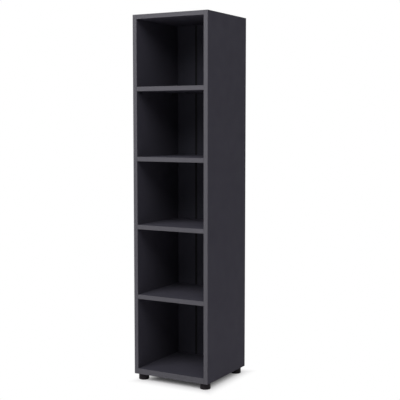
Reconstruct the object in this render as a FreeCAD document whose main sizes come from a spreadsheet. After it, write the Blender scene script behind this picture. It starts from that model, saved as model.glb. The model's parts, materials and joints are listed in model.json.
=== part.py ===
"""Open bookcase with five compartments, loose shelves on pins and levelling feet.

Millimetres, +Z up, front towards -Y, origin on the floor under the centre of the bookcase.
"""

import FreeCAD, Part
import os
import re

import Sketcher

Vector = FreeCAD.Vector
Rotation = FreeCAD.Rotation

# Driving dimensions, one cell of the sheet each
SIZES = {
    # Carcass
    "width": 425,
    "depth": 405,
    "carcass_height": 1808,
    "board": 22,
    "bottom_board": 28,
    # Edge bands
    "band": 2,
    "band_edge_radius": 1.2,
    "end_band": 1,
    # Shelf undersides above the bottom of the carcass
    "upper_shelf_height": 1432,
    "middle_shelf_height": 1084,
    "fixed_shelf_height": 742,
    "lower_shelf_height": 387,
    "shelf_side_gap": 0.5,
    "shelf_setback": 1,
    "shelf_back_gap": 2,
    # Back leaves and the strips that join them
    "leaf": 4,
    "side_leaf_width": 122,
    "rebate_width": 11,
    "leaf_side_gap": 0.5,
    "leaf_end_gap": 3,
    "strip_face": 12,
    "strip_flange": 1,
    "strip_web": 1.5,
    "strip_fit": 0.1,
    "strip_end_gap": 0.5,
    # Screws of the back
    "screw_diameter": 3,
    "screw_length": 14,
    "screw_point": 3,
    "screw_head": 6,
    "screw_head_height": 1,
    "screw_fit": 0.05,
    "screw_hole_gap": 1,
    "screw_end_inset": 60,
    "leaf_screw_spread": 70,
    "recess_span": 3.4,
    "recess_width": 0.9,
    "recess_depth": 0.7,
    # Dowels
    "dowel_diameter": 8,
    "dowel_length": 30,
    "dowel_in_side": 11,
    "dowel_fit": 0.05,
    "dowel_end_gap": 0.5,
    "dowel_chamfer": 1,
    "dowel_front_inset": 125,
    "dowel_rear_inset": 140,
    # Cam fittings
    "cam_diameter": 15,
    "cam_past_axis": 4,
    "cam_reach": 34,
    "cam_cap": 1.5,
    "cam_fit": 0.1,
    "cam_recess_span": 7,
    "cam_recess_width": 1.8,
    "cam_recess_depth": 2,
    "cam_front_inset": 75,
    "cam_rear_inset": 90,
    "bolt_head": 7,
    "bolt_head_length": 3,
    "bolt_neck": 5,
    "bolt_bore": 8,
    "bolt_thread": 5,
    "bolt_in_side": 11,
    "bolt_fit": 0.05,
    "bolt_end_gap": 0.5,
    # Shelf pins
    "pin_diameter": 5,
    "pin_in_side": 11,
    "pin_fit": 0.05,
    "pin_end_gap": 0.5,
    "pin_plate": 1.6,
    "pin_plate_width": 10,
    "pin_plate_height": 12,
    "pin_reach": 10,
    "pin_drop": 6,
    "pin_step": 32,
    "pin_front_inset": 37,
    "pin_rear_inset": 60,
    # Levelling feet
    "foot_height": 32,
    "foot_diameter": 53,
    "foot_side_inset": 33,
    "foot_front_inset": 38,
    "foot_seam": 0.6,
    "glide_floor_radius": 2.5,
    "glide_rim_radius": 1,
    "glide_height": 9,
    "hub_diameter": 20,
    "hub_height": 6,
    "collar_diameter": 52,
    "collar_flare": 0.3,
    "collar_wall": 3,
    "collar_plate": 4,
    "boss_diameter": 24,
    "boss_height": 14,
    "nut_across_flats": 17,
    "nut_height": 8,
    "nut_fit": 0.1,
    "spindle_diameter": 10,
    "spindle_length": 41,
    "spindle_seat": 5,
    "spindle_head": 15,
    "spindle_head_height": 3,
    "spindle_chamfer": 1,
    "spindle_head_gap": 0.2,
    "thread_fit": 0.05,
    "spindle_clearance": 0.4,
    "key_across_flats": 5,
    "key_depth": 5,
    "collar_screw_diameter": 3.5,
    "collar_screw_length": 12,
    "collar_screw_head": 7,
    "collar_screw_head_height": 2,
    # Caps over the spindles, inside the bottom compartment
    "access_hole": 13,
    "access_flange": 16,
    "access_flange_height": 0.8,
    "access_stem": 7,
    "access_fit": 0.1,
}

# Sizes and places that follow from the driving dimensions
DERIVED = {
    "inner_width": "width - 2 * board",
    "side_depth": "depth - band",
    "side_height": "carcass_height - end_band",
    "rebate_depth": "leaf + strip_flange",
    "leaf_plane": "depth - rebate_depth",
    "panel_depth": "leaf_plane - band",
    "fixed_shelf_depth": "leaf_plane - shelf_back_gap - band",
    "loose_shelf_depth": "fixed_shelf_depth - shelf_setback",
    "loose_shelf_length": "inner_width - 2 * shelf_side_gap",
    "leaf_height": "carcass_height - 2 * leaf_end_gap",
    "leaf_start": "board - rebate_width + leaf_side_gap",
    "leaf_joint": "strip_web + 2 * strip_fit",
    "middle_leaf_width": "width - 2 * leaf_start - 2 * side_leaf_width - 2 * leaf_joint",
    "strip_length": "carcass_height - bottom_board - board - 2 * strip_end_gap",
    "screw_hole": "screw_diameter + 2 * screw_fit",
    "screw_in_board": "screw_length - leaf + screw_hole_gap",
    "foot_radius": "foot_diameter / 2",
    "collar_radius": "collar_diameter / 2",
    "collar_bottom": "glide_height + foot_seam",
    "collar_screw_reach": "(boss_diameter / 2 + collar_radius - collar_wall) / 2",
    "collar_screw_hole": "collar_screw_diameter + 2 * screw_fit",
}

FITTED_BOARDS = {
    # name: height of its cam fittings above the bottom of the carcass
    "bottom_panel": "board / 2",
    "fixed_shelf": "fixed_shelf_height + board / 2",
    "top_panel": "carcass_height - board / 2",
}
LOOSE_SHELVES = ("upper_shelf", "middle_shelf", "lower_shelf")
PIN_ROWS = (-1, 0, 1)
SIDE_SCREWS = 6
COLLAR_SCREWS = 3
# Largest share of a wall that a rounded edge may take
BAND_ROUND_SHARE = 0.9
GLIDE_ROUND_SHARE = 0.4
TOLERANCE = 1e-6

AS_MADE = Rotation()
TURNED = Rotation(Vector(0, 0, 1), 180)
UPSIDE_DOWN = Rotation(Vector(1, 0, 0), 180)
TURNED_UPSIDE_DOWN = Rotation(Vector(0, 1, 0), 180)

doc = FreeCAD.newDocument("bookcase")
sheet = doc.addObject("Spreadsheet::Sheet", "Sizes")
for row, (alias, size) in enumerate(SIZES.items(), 1):
    sheet.set(f"A{row}", alias)
    sheet.set(f"B{row}", str(size))
    sheet.setAlias(f"B{row}", alias)
doc.recompute()

parts = []


def sized(text):
    """Turn a formula in plain size names into an expression on the sheet."""

    def swap(match):
        word = match.group()
        if word in DERIVED:
            return f"({sized(DERIVED[word])})"
        return f"Sizes.{word}" if word in SIZES else word

    return re.sub(r"[a-z][a-z_]*", swap, text)


def value(text):
    """Number that a formula in size names gives now."""
    return float(sheet.evalExpression(sized(text)))


def bind(item, path, text):
    """Tie a property of an object to a formula in size names."""
    item.setExpression(path, sized(text))


def place(item, x, y, z, path="Placement"):
    """Tie the place of an object to formulas in size names."""
    for axis, text in zip("xyz", (x, y, z)):
        bind(item, f"{path}.Base.{axis}", text)


def new_body(label):
    """Empty body with a label."""
    body = doc.addObject("PartDesign::Body", label)
    body.Label = label
    return body


def keep(body, x, y, z):
    """Place a finished body and count it as a piece of the bookcase."""
    place(body, x, y, z)
    parts.append(body)
    return body


# Sketches


def sketch(body, name, role, lift="0"):
    """Empty sketch on an origin plane of its body, lifted along the plane's normal."""
    item = body.newObject("Sketcher::SketchObject", name)
    plane = next(feature for feature in body.Origin.OriginFeatures if feature.Role == role)
    item.AttachmentSupport = [(plane, "")]
    item.MapMode = "FlatFace"
    if lift != "0":
        bind(item, "AttachmentOffset.Base.z", lift)
    return item


def locate(item, geometry, point, x, y):
    """Dimension one point of a sketch from the sketch's origin."""
    for kind, axis, text in (("DistanceX", -2, x), ("DistanceY", -1, y)):
        if text == "0":
            item.addConstraint(Sketcher.Constraint("PointOnObject", geometry, point, axis))
            continue
        index = item.addConstraint(Sketcher.Constraint(kind, -1, 1, geometry, point, value(text)))
        bind(item, f"Constraints[{index}]", text)


def outline(item, corners):
    """Draw a closed outline of straight lines with every corner dimensioned."""
    points = [Vector(value(x), value(y), 0) for x, y in corners]
    ends = points[1:] + points[:1]
    lines = [item.addGeometry(Part.LineSegment(start, end)) for start, end in zip(points, ends)]
    for line, following in zip(lines, lines[1:] + lines[:1]):
        item.addConstraint(Sketcher.Constraint("Coincident", line, 2, following, 1))
    for line, (x, y) in zip(lines, corners):
        locate(item, line, 1, x, y)
    return item


def rectangle(item, x, y, width, height):
    """Draw a rectangle from its lower left corner."""
    right = f"{x} + {width}"
    upper = f"{y} + {height}"
    return outline(item, [(x, y), (right, y), (right, upper), (x, upper)])


def hexagon(item, across_flats):
    """Draw a hexagon about the sketch's origin."""
    corner = f"{across_flats} / sqrt(3)"
    half = f"{across_flats} / (2 * sqrt(3))"
    flat = f"{across_flats} / 2"
    corners = [(corner, "0"), (half, flat), (f"-{half}", flat)]
    corners += [(f"-{corner}", "0"), (f"-{half}", f"-{flat}"), (half, f"-{flat}")]
    return outline(item, corners)


def cross(item, span, width):
    """Draw a cross about the sketch's origin."""
    far = f"{span} / 2"
    near = f"{width} / 2"
    corners = []
    for x, y in ((1, 1), (-1, 1), (-1, -1), (1, -1)):
        arm = [(f"{x} * {far}", f"{y} * {near}"), (f"{x} * {near}", f"{y} * {near}"),
               (f"{x} * {near}", f"{y} * {far}")]
        corners += arm if x * y > 0 else arm[::-1]
    return outline(item, corners)


def circles(item, centres, diameter):
    """Draw equal circles with every centre dimensioned."""
    first = None
    for x, y in centres:
        middle = Vector(value(x), value(y), 0)
        circle = item.addGeometry(Part.Circle(middle, Vector(0, 0, 1), value(diameter) / 2))
        locate(item, circle, 3, x, y)
        if first is None:
            first = circle
            index = item.addConstraint(Sketcher.Constraint("Diameter", circle, value(diameter)))
            bind(item, f"Constraints[{index}]", diameter)
        else:
            item.addConstraint(Sketcher.Constraint("Equal", first, circle))
    return item


# Features


def pad(body, profile, length, reverse=False, symmetric=False):
    """Grow a solid from a sketch, along the sketch's normal unless reversed."""
    feature = body.newObject("PartDesign::Pad", profile.Name + "_pad")
    feature.Profile = profile
    feature.Reversed = reverse
    if symmetric:
        feature.SideType = "Symmetric"
    bind(feature, "Length", length)
    doc.recompute()
    return feature


def pocket(body, profile, length=None, reverse=False):
    """Cut a sketch into the solid, against the sketch's normal unless reversed."""
    before = body.Shape.Volume
    feature = body.newObject("PartDesign::Pocket", profile.Name + "_pocket")
    feature.Profile = profile
    feature.Reversed = reverse
    if length is None:
        feature.Type = "ThroughAll"
    else:
        bind(feature, "Length", length)
    doc.recompute()
    if body.Shape.Volume > before - TOLERANCE:
        raise ValueError(f"{feature.Name} of {body.Label} cuts nothing")
    return feature


def revolve(body, profile, axis):
    """Turn a sketch about one of its own axes."""
    feature = body.newObject("PartDesign::Revolution", profile.Name + "_turned")
    feature.Profile = profile
    feature.ReferenceAxis = (profile, [axis])
    feature.Angle = 360
    doc.recompute()
    return feature


def fillet(body, base, edges, radius):
    """Round named edges of a feature."""
    feature = body.newObject("PartDesign::Fillet", base.Name + "_round")
    feature.Base = (base, edges)
    bind(feature, "Radius", radius)
    doc.recompute()
    return feature


def block(label, length, depth, height):
    """Body with one rectangular solid, its corner at the body's origin."""
    body = new_body(label)
    base = rectangle(sketch(body, label + "_base", "XY_Plane"), "0", "0", length, depth)
    pad(body, base, height)
    return body


def group(label, template, spots):
    """Gather copies of one fastener, each at its own place, in one named piece."""
    copies = []
    for x, y, z, turn in spots:
        copy = doc.addObject("App::Link", label + "_copy")
        copy.LinkedObject = template
        copy.LinkPlacement = FreeCAD.Placement(Vector(), turn)
        place(copy, x, y, z, "LinkPlacement")
        copies.append(copy)
    whole = doc.addObject("Part::Compound", label)
    whole.Label = label
    whole.Links = copies
    parts.append(whole)


# Places that several pieces share


def rows(fitting):
    """Front and rear rows of a fitting, measured from the front face of the carcass."""
    return [f"{fitting}_front_inset", f"depth - {fitting}_rear_inset"]


def back_screw_spots():
    """Back screws as (x from the left outer face, height above the bottom of the carcass)."""
    side_middle = "leaf_start + side_leaf_width / 2"
    spots = {"bottom_panel": [], "top_panel": [], "side_panel_left": [], "side_panel_right": []}
    for middle in (side_middle, "width / 2", f"width - ({side_middle})"):
        for side in (-1, 1):
            across = f"{middle} + {side} * leaf_screw_spread / 2"
            spots["bottom_panel"].append((across, "bottom_board / 2"))
            spots["top_panel"].append((across, "carcass_height - board / 2"))
    for step in range(SIDE_SCREWS):
        share = step / (SIDE_SCREWS - 1)
        height = f"screw_end_inset + {share} * (carcass_height - 2 * screw_end_inset)"
        spots["side_panel_left"].append(("board - rebate_width / 2", height))
        spots["side_panel_right"].append(("width - board + rebate_width / 2", height))
    return spots


def foot_spots():
    """Feet as (name, x, y, turn), where the turn points each foot's screws inwards."""
    front = "foot_front_inset - depth / 2"
    spots = []
    for depth_name, y in (("front", front), ("rear", f"-({front})")):
        spots.append((f"{depth_name}_left", "foot_side_inset - width / 2", y, AS_MADE))
        spots.append((f"{depth_name}_right", "width / 2 - foot_side_inset", y, TURNED))
    return spots


BACK_SCREWS = back_screw_spots()
FEET = foot_spots()


# Boards of the carcass


def side_panel(label, inner_face, rebate_start, screw_x, outer_x):
    """Full-height side with its rear rebate and the bores on its inner face."""
    body = block(label, "board", "side_depth", "side_height")
    inward = inner_face == "0"
    rebate = sketch(body, label + "_rebate", "XY_Plane")
    rectangle(rebate, rebate_start, "side_depth - rebate_depth", "rebate_width", "rebate_depth")
    pocket(body, rebate, reverse=True)
    for fitting, bore, length in (
        ("dowel", "dowel_diameter", "dowel_in_side + dowel_end_gap"),
        ("cam", "bolt_thread", "bolt_in_side + bolt_end_gap"),
    ):
        holes = sketch(body, f"{label}_{fitting}_bores", "YZ_Plane", inner_face)
        centres = [(f"{row} - band", axis) for row in rows(fitting) for axis in FITTED_BOARDS.values()]
        pocket(body, circles(holes, centres, bore), length, reverse=inward)
    holes = sketch(body, label + "_pin_bores", "YZ_Plane", inner_face)
    centres = [
        (f"{row} - band", f"{shelf}_height - pin_drop + {step} * pin_step")
        for shelf in LOOSE_SHELVES
        for step in PIN_ROWS
        for row in rows("pin")
    ]
    pocket(body, circles(holes, centres, "pin_diameter"), "pin_in_side + pin_end_gap", reverse=inward)
    holes = sketch(body, label + "_screw_bores", "XZ_Plane", "rebate_depth - side_depth")
    centres = [(screw_x, height) for _, height in BACK_SCREWS[label]]
    pocket(body, circles(holes, centres, "screw_hole"), "screw_in_board", reverse=True)
    keep(body, outer_x, "band - depth / 2", "foot_height")


def fitted_board(label, thickness, depth, base_height, cams_on_top):
    """Board that is cammed and dowelled between the sides."""
    body = block(label, "inner_width", depth, thickness)
    axis = f"{thickness} - board / 2" if cams_on_top else "board / 2"
    for end, reverse in (("0", True), ("inner_width", False)):
        for fitting, bore, length in (
            ("dowel", "dowel_diameter", "dowel_length - dowel_in_side + dowel_end_gap"),
            ("cam", "bolt_bore", "cam_reach"),
        ):
            holes = sketch(body, f"{label}_{fitting}_bores", "YZ_Plane", end)
            centres = [(f"{row} - band", axis) for row in rows(fitting)]
            pocket(body, circles(holes, centres, bore), length, reverse)
    holes = sketch(body, label + "_cam_seats", "XY_Plane", thickness if cams_on_top else "0")
    centres = [(x, f"{row} - band") for x in ("cam_reach", "inner_width - cam_reach") for row in rows("cam")]
    circles(holes, centres, "cam_diameter")
    pocket(body, holes, "board / 2 + cam_past_axis + cam_fit", reverse=not cams_on_top)
    if label in BACK_SCREWS:
        holes = sketch(body, label + "_screw_bores", "XZ_Plane", f"-({depth})")
        centres = [(f"{x} - board", f"{height} - {base_height}") for x, height in BACK_SCREWS[label]]
        pocket(body, circles(holes, centres, "screw_hole"), "screw_in_board", reverse=True)
    return keep(body, "board - width / 2", "band - depth / 2", f"foot_height + {base_height}")


def foot_bores(body):
    """Spindle holes and collar screw holes in the bottom panel."""
    holes = sketch(body, "spindle_bores", "XY_Plane")
    screws = sketch(body, "collar_screw_bores", "XY_Plane")
    left = "foot_side_inset - board"
    right = "inner_width - foot_side_inset + board"
    centres = []
    screw_centres = []
    for y in ("foot_front_inset - band", "depth - foot_front_inset - band"):
        for x, inwards in ((left, "+"), (right, "-")):
            centres.append((x, y))
            screw_centres.append((f"{x} {inwards} collar_screw_reach", y))
            screw_centres.append((x, f"{y} + collar_screw_reach"))
            screw_centres.append((x, f"{y} - collar_screw_reach"))
    pocket(body, circles(holes, centres, "access_hole"), reverse=True)
    circles(screws, screw_centres, "collar_screw_hole")
    pocket(body, screws, "collar_screw_length + screw_hole_gap", reverse=True)


def edge_band(label, length, height, x, y, z):
    """Front edge band with its two long front edges rounded."""
    body = new_body(label)
    face = rectangle(sketch(body, label + "_face", "XZ_Plane"), "0", "0", length, height)
    base = pad(body, face, "band", reverse=True)
    front = [
        (edge.Length, f"Edge{number}")
        for number, edge in enumerate(base.Shape.Edges, 1)
        if edge.BoundBox.YMax < TOLERANCE
    ]
    long_edges = [name for _, name in sorted(front)[-2:]]
    fillet(body, base, long_edges, f"min(band_edge_radius; {BAND_ROUND_SHARE} * band)")
    keep(body, x, y, z)


def carcass():
    """Sides, fitted boards and their edge bands."""
    side_panel("side_panel_left", "board", "board - rebate_width", "board - rebate_width / 2", "-width / 2")
    side_panel("side_panel_right", "0", "0", "rebate_width / 2", "width / 2 - board")
    for name, x in (("left", "-width / 2"), ("right", "width / 2 - board")):
        edge_band(f"side_band_{name}", "board", "carcass_height", x, "-depth / 2", "foot_height")
        end = block(f"side_end_band_{name}", "board", "side_depth", "end_band")
        rebate = sketch(end, f"side_end_rebate_{name}", "XY_Plane")
        start = "board - rebate_width" if name == "left" else "0"
        rectangle(rebate, start, "side_depth - rebate_depth", "rebate_width", "rebate_depth")
        pocket(end, rebate, reverse=True)
        keep(end, x, "band - depth / 2", "foot_height + side_height")
    bottom = fitted_board("bottom_panel", "bottom_board", "panel_depth", "0", False)
    foot_bores(bottom)
    fitted_board("fixed_shelf", "board", "fixed_shelf_depth", "fixed_shelf_height", False)
    fitted_board("top_panel", "board", "panel_depth", "(carcass_height - board)", True)
    for label, thickness, base_height in (
        ("bottom_band", "bottom_board", "0"),
        ("fixed_shelf_band", "board", "fixed_shelf_height"),
        ("top_band", "board", "carcass_height - board"),
    ):
        height = f"foot_height + {base_height}"
        edge_band(label, "inner_width", thickness, "board - width / 2", "-depth / 2", height)


def loose_shelves():
    """Loose shelves with their edge bands."""
    x = "board + shelf_side_gap - width / 2"
    front = "shelf_setback - depth / 2"
    for shelf in LOOSE_SHELVES:
        height = f"foot_height + {shelf}_height"
        keep(block(shelf, "loose_shelf_length", "loose_shelf_depth", "board"), x, f"{front} + band", height)
        edge_band(f"{shelf}_band", "loose_shelf_length", "board", x, front, height)


# Back


def back_leaf(label, start, width, screws):
    """One leaf of the back with its screw holes."""
    body = block(label, width, "leaf", "leaf_height")
    holes = sketch(body, label + "_screw_holes", "XZ_Plane")
    centres = [(f"{x} - ({start})", f"{height} - leaf_end_gap") for x, height in screws]
    pocket(body, circles(holes, centres, "screw_hole"))
    keep(body, f"{start} - width / 2", "leaf_plane - depth / 2", "foot_height + leaf_end_gap")


def back_strip(label, middle):
    """Strip of H section that grips the edges of two leaves."""
    body = new_body(label)
    far = "strip_face / 2"
    near = "strip_web / 2"
    front = "-strip_flange"
    rear = "leaf + strip_flange"
    inner = "leaf"
    corners = [(f"-{far}", front), (far, front), (far, "0"), (near, "0"), (near, inner), (far, inner)]
    corners += [(far, rear), (f"-{far}", rear), (f"-{far}", inner), (f"-{near}", inner)]
    corners += [(f"-{near}", "0"), (f"-{far}", "0")]
    section = outline(sketch(body, label + "_section", "XY_Plane"), corners)
    pad(body, section, "strip_length")
    keep(body, middle, "leaf_plane - depth / 2", "foot_height + bottom_board + strip_end_gap")


def back_screw():
    """Screw of the back, driven towards -Y, with its head seated at the origin."""
    body = new_body("back_screw")
    radius = "screw_diameter / 2"
    section = sketch(body, "back_screw_section", "XY_Plane")
    outline(section, [
        ("0", "-screw_length"),
        (radius, "screw_point - screw_length"),
        (radius, "0"),
        ("screw_head / 2", "0"),
        ("screw_head / 2", "screw_head_height"),
        ("0", "screw_head_height"),
    ])
    revolve(body, section, "V_Axis")
    recess = sketch(body, "back_screw_recess", "XZ_Plane", "-screw_head_height")
    pocket(body, cross(recess, "recess_span", "recess_width"), "recess_depth", reverse=True)
    return body


def back():
    """Three leaves, the two strips between them and all screws."""
    lower = BACK_SCREWS["bottom_panel"]
    upper = BACK_SCREWS["top_panel"]
    second = "leaf_start + side_leaf_width + leaf_joint"
    third = "width - leaf_start - side_leaf_width"
    left_screws = lower[:2] + upper[:2] + BACK_SCREWS["side_panel_left"]
    right_screws = lower[4:] + upper[4:] + BACK_SCREWS["side_panel_right"]
    back_leaf("back_leaf_left", "leaf_start", "side_leaf_width", left_screws)
    back_leaf("back_leaf_middle", second, "middle_leaf_width", lower[2:4] + upper[2:4])
    back_leaf("back_leaf_right", third, "side_leaf_width", right_screws)
    joint = "leaf_start + side_leaf_width + leaf_joint / 2"
    back_strip("back_strip_left", f"{joint} - width / 2")
    back_strip("back_strip_right", f"width / 2 - ({joint})")
    spots = [spot for board_spots in BACK_SCREWS.values() for spot in board_spots]
    rear = "leaf_plane + leaf - depth / 2"
    places = [(f"{x} - width / 2", rear, f"foot_height + {height}", AS_MADE) for x, height in spots]
    group("back_screws", back_screw(), places)


# Fittings of the carcass


def dowel():
    """Dowel along X, with the origin at the joint."""
    body = new_body("dowel")
    radius = "dowel_diameter / 2 - dowel_fit"
    start = "-dowel_in_side"
    end = "dowel_length - dowel_in_side"
    section = sketch(body, "dowel_section", "XY_Plane")
    outline(section, [
        (start, "0"),
        (start, f"{radius} - dowel_chamfer"),
        (f"{start} + dowel_chamfer", radius),
        (f"{end} - dowel_chamfer", radius),
        (end, f"{radius} - dowel_chamfer"),
        (end, "0"),
    ])
    revolve(body, section, "H_Axis")
    return body


def cam_bolt():
    """Bolt along X, screwed into the side, with the origin at the joint."""
    body = new_body("cam_bolt")
    thread = "bolt_thread / 2 - bolt_fit"
    neck = "bolt_neck / 2"
    head = "bolt_head / 2"
    neck_end = "cam_reach - bolt_head_length"
    section = sketch(body, "cam_bolt_section", "XY_Plane")
    outline(section, [
        ("-bolt_in_side", "0"),
        ("-bolt_in_side", thread),
        ("0", thread),
        ("0", head),
        ("bolt_head_length", head),
        ("bolt_head_length", neck),
        (neck_end, neck),
        (neck_end, head),
        ("cam_reach", head),
        ("cam_reach", "0"),
    ])
    revolve(body, section, "H_Axis")
    return body


def cam_lock():
    """Cam about Z, with the origin on the bolt's axis and its bolt entering from -X."""
    body = new_body("cam_lock")
    base = sketch(body, "cam_base", "XY_Plane", "-cam_past_axis")
    circles(base, [("0", "0")], "cam_diameter - 2 * cam_fit")
    pad(body, base, "cam_past_axis + board / 2 - cam_cap")
    bore = circles(sketch(body, "cam_bore", "YZ_Plane"), [("0", "0")], "bolt_head + 2 * cam_fit")
    pocket(body, bore)
    recess = sketch(body, "cam_recess", "XY_Plane", "board / 2 - cam_cap")
    pocket(body, cross(recess, "cam_recess_span", "cam_recess_width"), "cam_recess_depth")
    return body


def cam_cap():
    """Flush cap over a cam, on the cam's own axes."""
    body = new_body("cam_cap")
    base = sketch(body, "cam_cap_base", "XY_Plane", "board / 2 - cam_cap")
    circles(base, [("0", "0")], "cam_diameter - 2 * cam_fit")
    pad(body, base, "cam_cap")
    return body


def fittings():
    """Dowels, cam bolts, cams and caps of the fitted boards."""
    dowels = []
    bolts = []
    cams = []
    for board, axis in FITTED_BOARDS.items():
        height = f"foot_height + {axis}"
        on_top = board == "top_panel"
        left_turn = AS_MADE if on_top else UPSIDE_DOWN
        right_turn = TURNED if on_top else TURNED_UPSIDE_DOWN
        for side, turn, cam_turn in ((-1, AS_MADE, left_turn), (1, TURNED, right_turn)):
            joint = f"{side} * inner_width / 2"
            cam_x = f"{side} * (inner_width / 2 - cam_reach)"
            dowels += [(joint, f"{row} - depth / 2", height, turn) for row in rows("dowel")]
            bolts += [(joint, f"{row} - depth / 2", height, turn) for row in rows("cam")]
            cams += [(cam_x, f"{row} - depth / 2", height, cam_turn) for row in rows("cam")]
    group("dowels", dowel(), dowels)
    group("cam_bolts", cam_bolt(), bolts)
    group("cam_locks", cam_lock(), cams)
    group("cam_caps", cam_cap(), cams)


def shelf_pin():
    """L-shaped pin in the left side, with the origin on the inner face under the shelf."""
    body = new_body("shelf_pin")
    section = sketch(body, "pin_section", "XZ_Plane")
    outline(section, [
        ("0", "0"),
        ("0", "-pin_plate_height"),
        ("pin_plate", "-pin_plate_height"),
        ("pin_plate", "-pin_plate"),
        ("pin_reach", "-pin_plate"),
        ("pin_reach", "0"),
    ])
    pad(body, section, "pin_plate_width", symmetric=True)
    peg = circles(sketch(body, "pin_peg", "YZ_Plane"), [("0", "-pin_drop")], "pin_diameter - 2 * pin_fit")
    pad(body, peg, "pin_in_side", reverse=True)
    return body


def shelf_pins():
    """Four pins under each loose shelf."""
    template = shelf_pin()
    for shelf in LOOSE_SHELVES:
        height = f"foot_height + {shelf}_height"
        spots = [
            (f"{side} * inner_width / 2", f"{row} - depth / 2", height, turn)
            for side, turn in ((-1, AS_MADE), (1, TURNED))
            for row in rows("pin")
        ]
        group(f"{shelf}_pins", template, spots)


# Levelling feet


def foot_collar(label):
    """Collar under the bottom panel, with its nut pocket and screw holes."""
    body = new_body(label)
    bore = "spindle_diameter / 2 + spindle_clearance"
    plate = "foot_height - collar_plate"
    skirt = "collar_radius - collar_wall"
    boss_bottom = "foot_height - boss_height"
    section = sketch(body, label + "_section", "XZ_Plane")
    outline(section, [
        (bore, boss_bottom),
        ("boss_diameter / 2", boss_bottom),
        ("boss_diameter / 2", plate),
        (skirt, plate),
        (skirt, "collar_bottom"),
        ("collar_radius + collar_flare", "collar_bottom"),
        ("collar_radius", "foot_height"),
        (bore, "foot_height"),
    ])
    revolve(body, section, "V_Axis")
    nut_pocket = sketch(body, label + "_nut_pocket", "XY_Plane", "foot_height")
    pocket(body, hexagon(nut_pocket, "(nut_across_flats + 2 * nut_fit)"), "nut_height")
    hole = sketch(body, label + "_screw_hole", "XY_Plane", "foot_height")
    circles(hole, [("0", "-collar_screw_reach")], "collar_screw_hole")
    first = pocket(body, hole, "collar_plate")
    pattern = body.newObject("PartDesign::PolarPattern", label + "_screw_holes")
    pattern.Originals = [first]
    pattern.Axis = (hole, ["N_Axis"])
    pattern.Angle = 180
    pattern.Occurrences = COLLAR_SCREWS
    body.Tip = pattern
    return body


def outer_edges(shape, height):
    """Names of the glide's full-width round edges at one height."""
    level = value(height)
    return [
        f"Edge{number}"
        for number, edge in enumerate(shape.Edges, 1)
        if abs(edge.BoundBox.ZMin - level) < TOLERANCE
        and abs(edge.BoundBox.ZMax - level) < TOLERANCE
        and edge.BoundBox.XMax > value("foot_radius") - TOLERANCE
    ]


def foot_glide(label):
    """Glide that stands on the floor and holds the head of the spindle."""
    body = new_body(label)
    hub = "hub_diameter / 2"
    hub_top = "glide_height + hub_height"
    neck = "spindle_diameter / 2 + spindle_clearance"
    cavity = "spindle_head / 2 + spindle_clearance"
    cavity_top = "spindle_seat + spindle_head_height + spindle_head_gap"
    section = sketch(body, label + "_section", "XZ_Plane")
    outline(section, [
        ("0", "0"),
        ("foot_radius", "0"),
        ("foot_radius", "glide_height"),
        (hub, "glide_height"),
        (hub, hub_top),
        (neck, hub_top),
        (neck, cavity_top),
        (cavity, cavity_top),
        (cavity, "spindle_seat"),
        ("0", "spindle_seat"),
    ])
    base = revolve(body, section, "V_Axis")
    for height, radius in (("0", "glide_floor_radius"), ("glide_height", "glide_rim_radius")):
        edges = outer_edges(base.Shape, height)
        base = fillet(body, base, edges, f"min({radius}; {GLIDE_ROUND_SHARE} * glide_height)")
    return body


def foot_spindle(label):
    """Threaded spindle, drawn as a plain rod, with its thrust head and hex socket."""
    body = new_body(label)
    rod = "spindle_diameter / 2"
    head = "spindle_head / 2"
    head_top = "spindle_seat + spindle_head_height"
    end = "spindle_seat + spindle_length"
    section = sketch(body, label + "_section", "XZ_Plane")
    outline(section, [
        ("0", "spindle_seat"),
        (head, "spindle_seat"),
        (head, head_top),
        (rod, head_top),
        (rod, f"{end} - spindle_chamfer"),
        (f"{rod} - spindle_chamfer", end),
        ("0", end),
    ])
    revolve(body, section, "V_Axis")
    socket = hexagon(sketch(body, label + "_socket", "XY_Plane", end), "key_across_flats")
    pocket(body, socket, "key_depth")
    return body


def foot_nut():
    """Captive nut, with the origin in the middle of its top face."""
    body = new_body("foot_nut")
    base = hexagon(sketch(body, "nut_base", "XY_Plane"), "nut_across_flats")
    pad(body, base, "nut_height", reverse=True)
    bore = circles(sketch(body, "nut_bore", "XY_Plane"), [("0", "0")], "spindle_diameter + 2 * thread_fit")
    pocket(body, bore)
    return body


def collar_screw():
    """Screw of a collar, driven upwards, with its head seated at the origin."""
    body = new_body("collar_screw")
    radius = "collar_screw_diameter / 2"
    head = "collar_screw_head / 2"
    shank = "collar_plate + collar_screw_length"
    section = sketch(body, "collar_screw_section", "XZ_Plane")
    outline(section, [
        ("0", "-collar_screw_head_height"),
        (head, "-collar_screw_head_height"),
        (head, "0"),
        (radius, "0"),
        (radius, f"{shank} - screw_point"),
        ("0", shank),
    ])
    revolve(body, section, "V_Axis")
    recess = sketch(body, "collar_screw_recess", "XY_Plane", "-collar_screw_head_height")
    pocket(body, cross(recess, "recess_span", "recess_width"), "recess_depth", reverse=True)
    return body


def access_cap():
    """Cap over a spindle hole, with the origin on the panel's upper face."""
    body = new_body("access_cap")
    stem = "access_hole / 2 - access_fit"
    flange = "access_flange / 2"
    section = sketch(body, "access_cap_section", "XZ_Plane")
    outline(section, [
        ("0", "-access_stem"),
        (stem, "-access_stem"),
        (stem, "0"),
        (flange, "0"),
        (flange, "access_flange_height / 2"),
        (f"{flange} - access_flange_height", "access_flange_height"),
        ("0", "access_flange_height"),
    ])
    revolve(body, section, "V_Axis")
    return body


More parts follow.
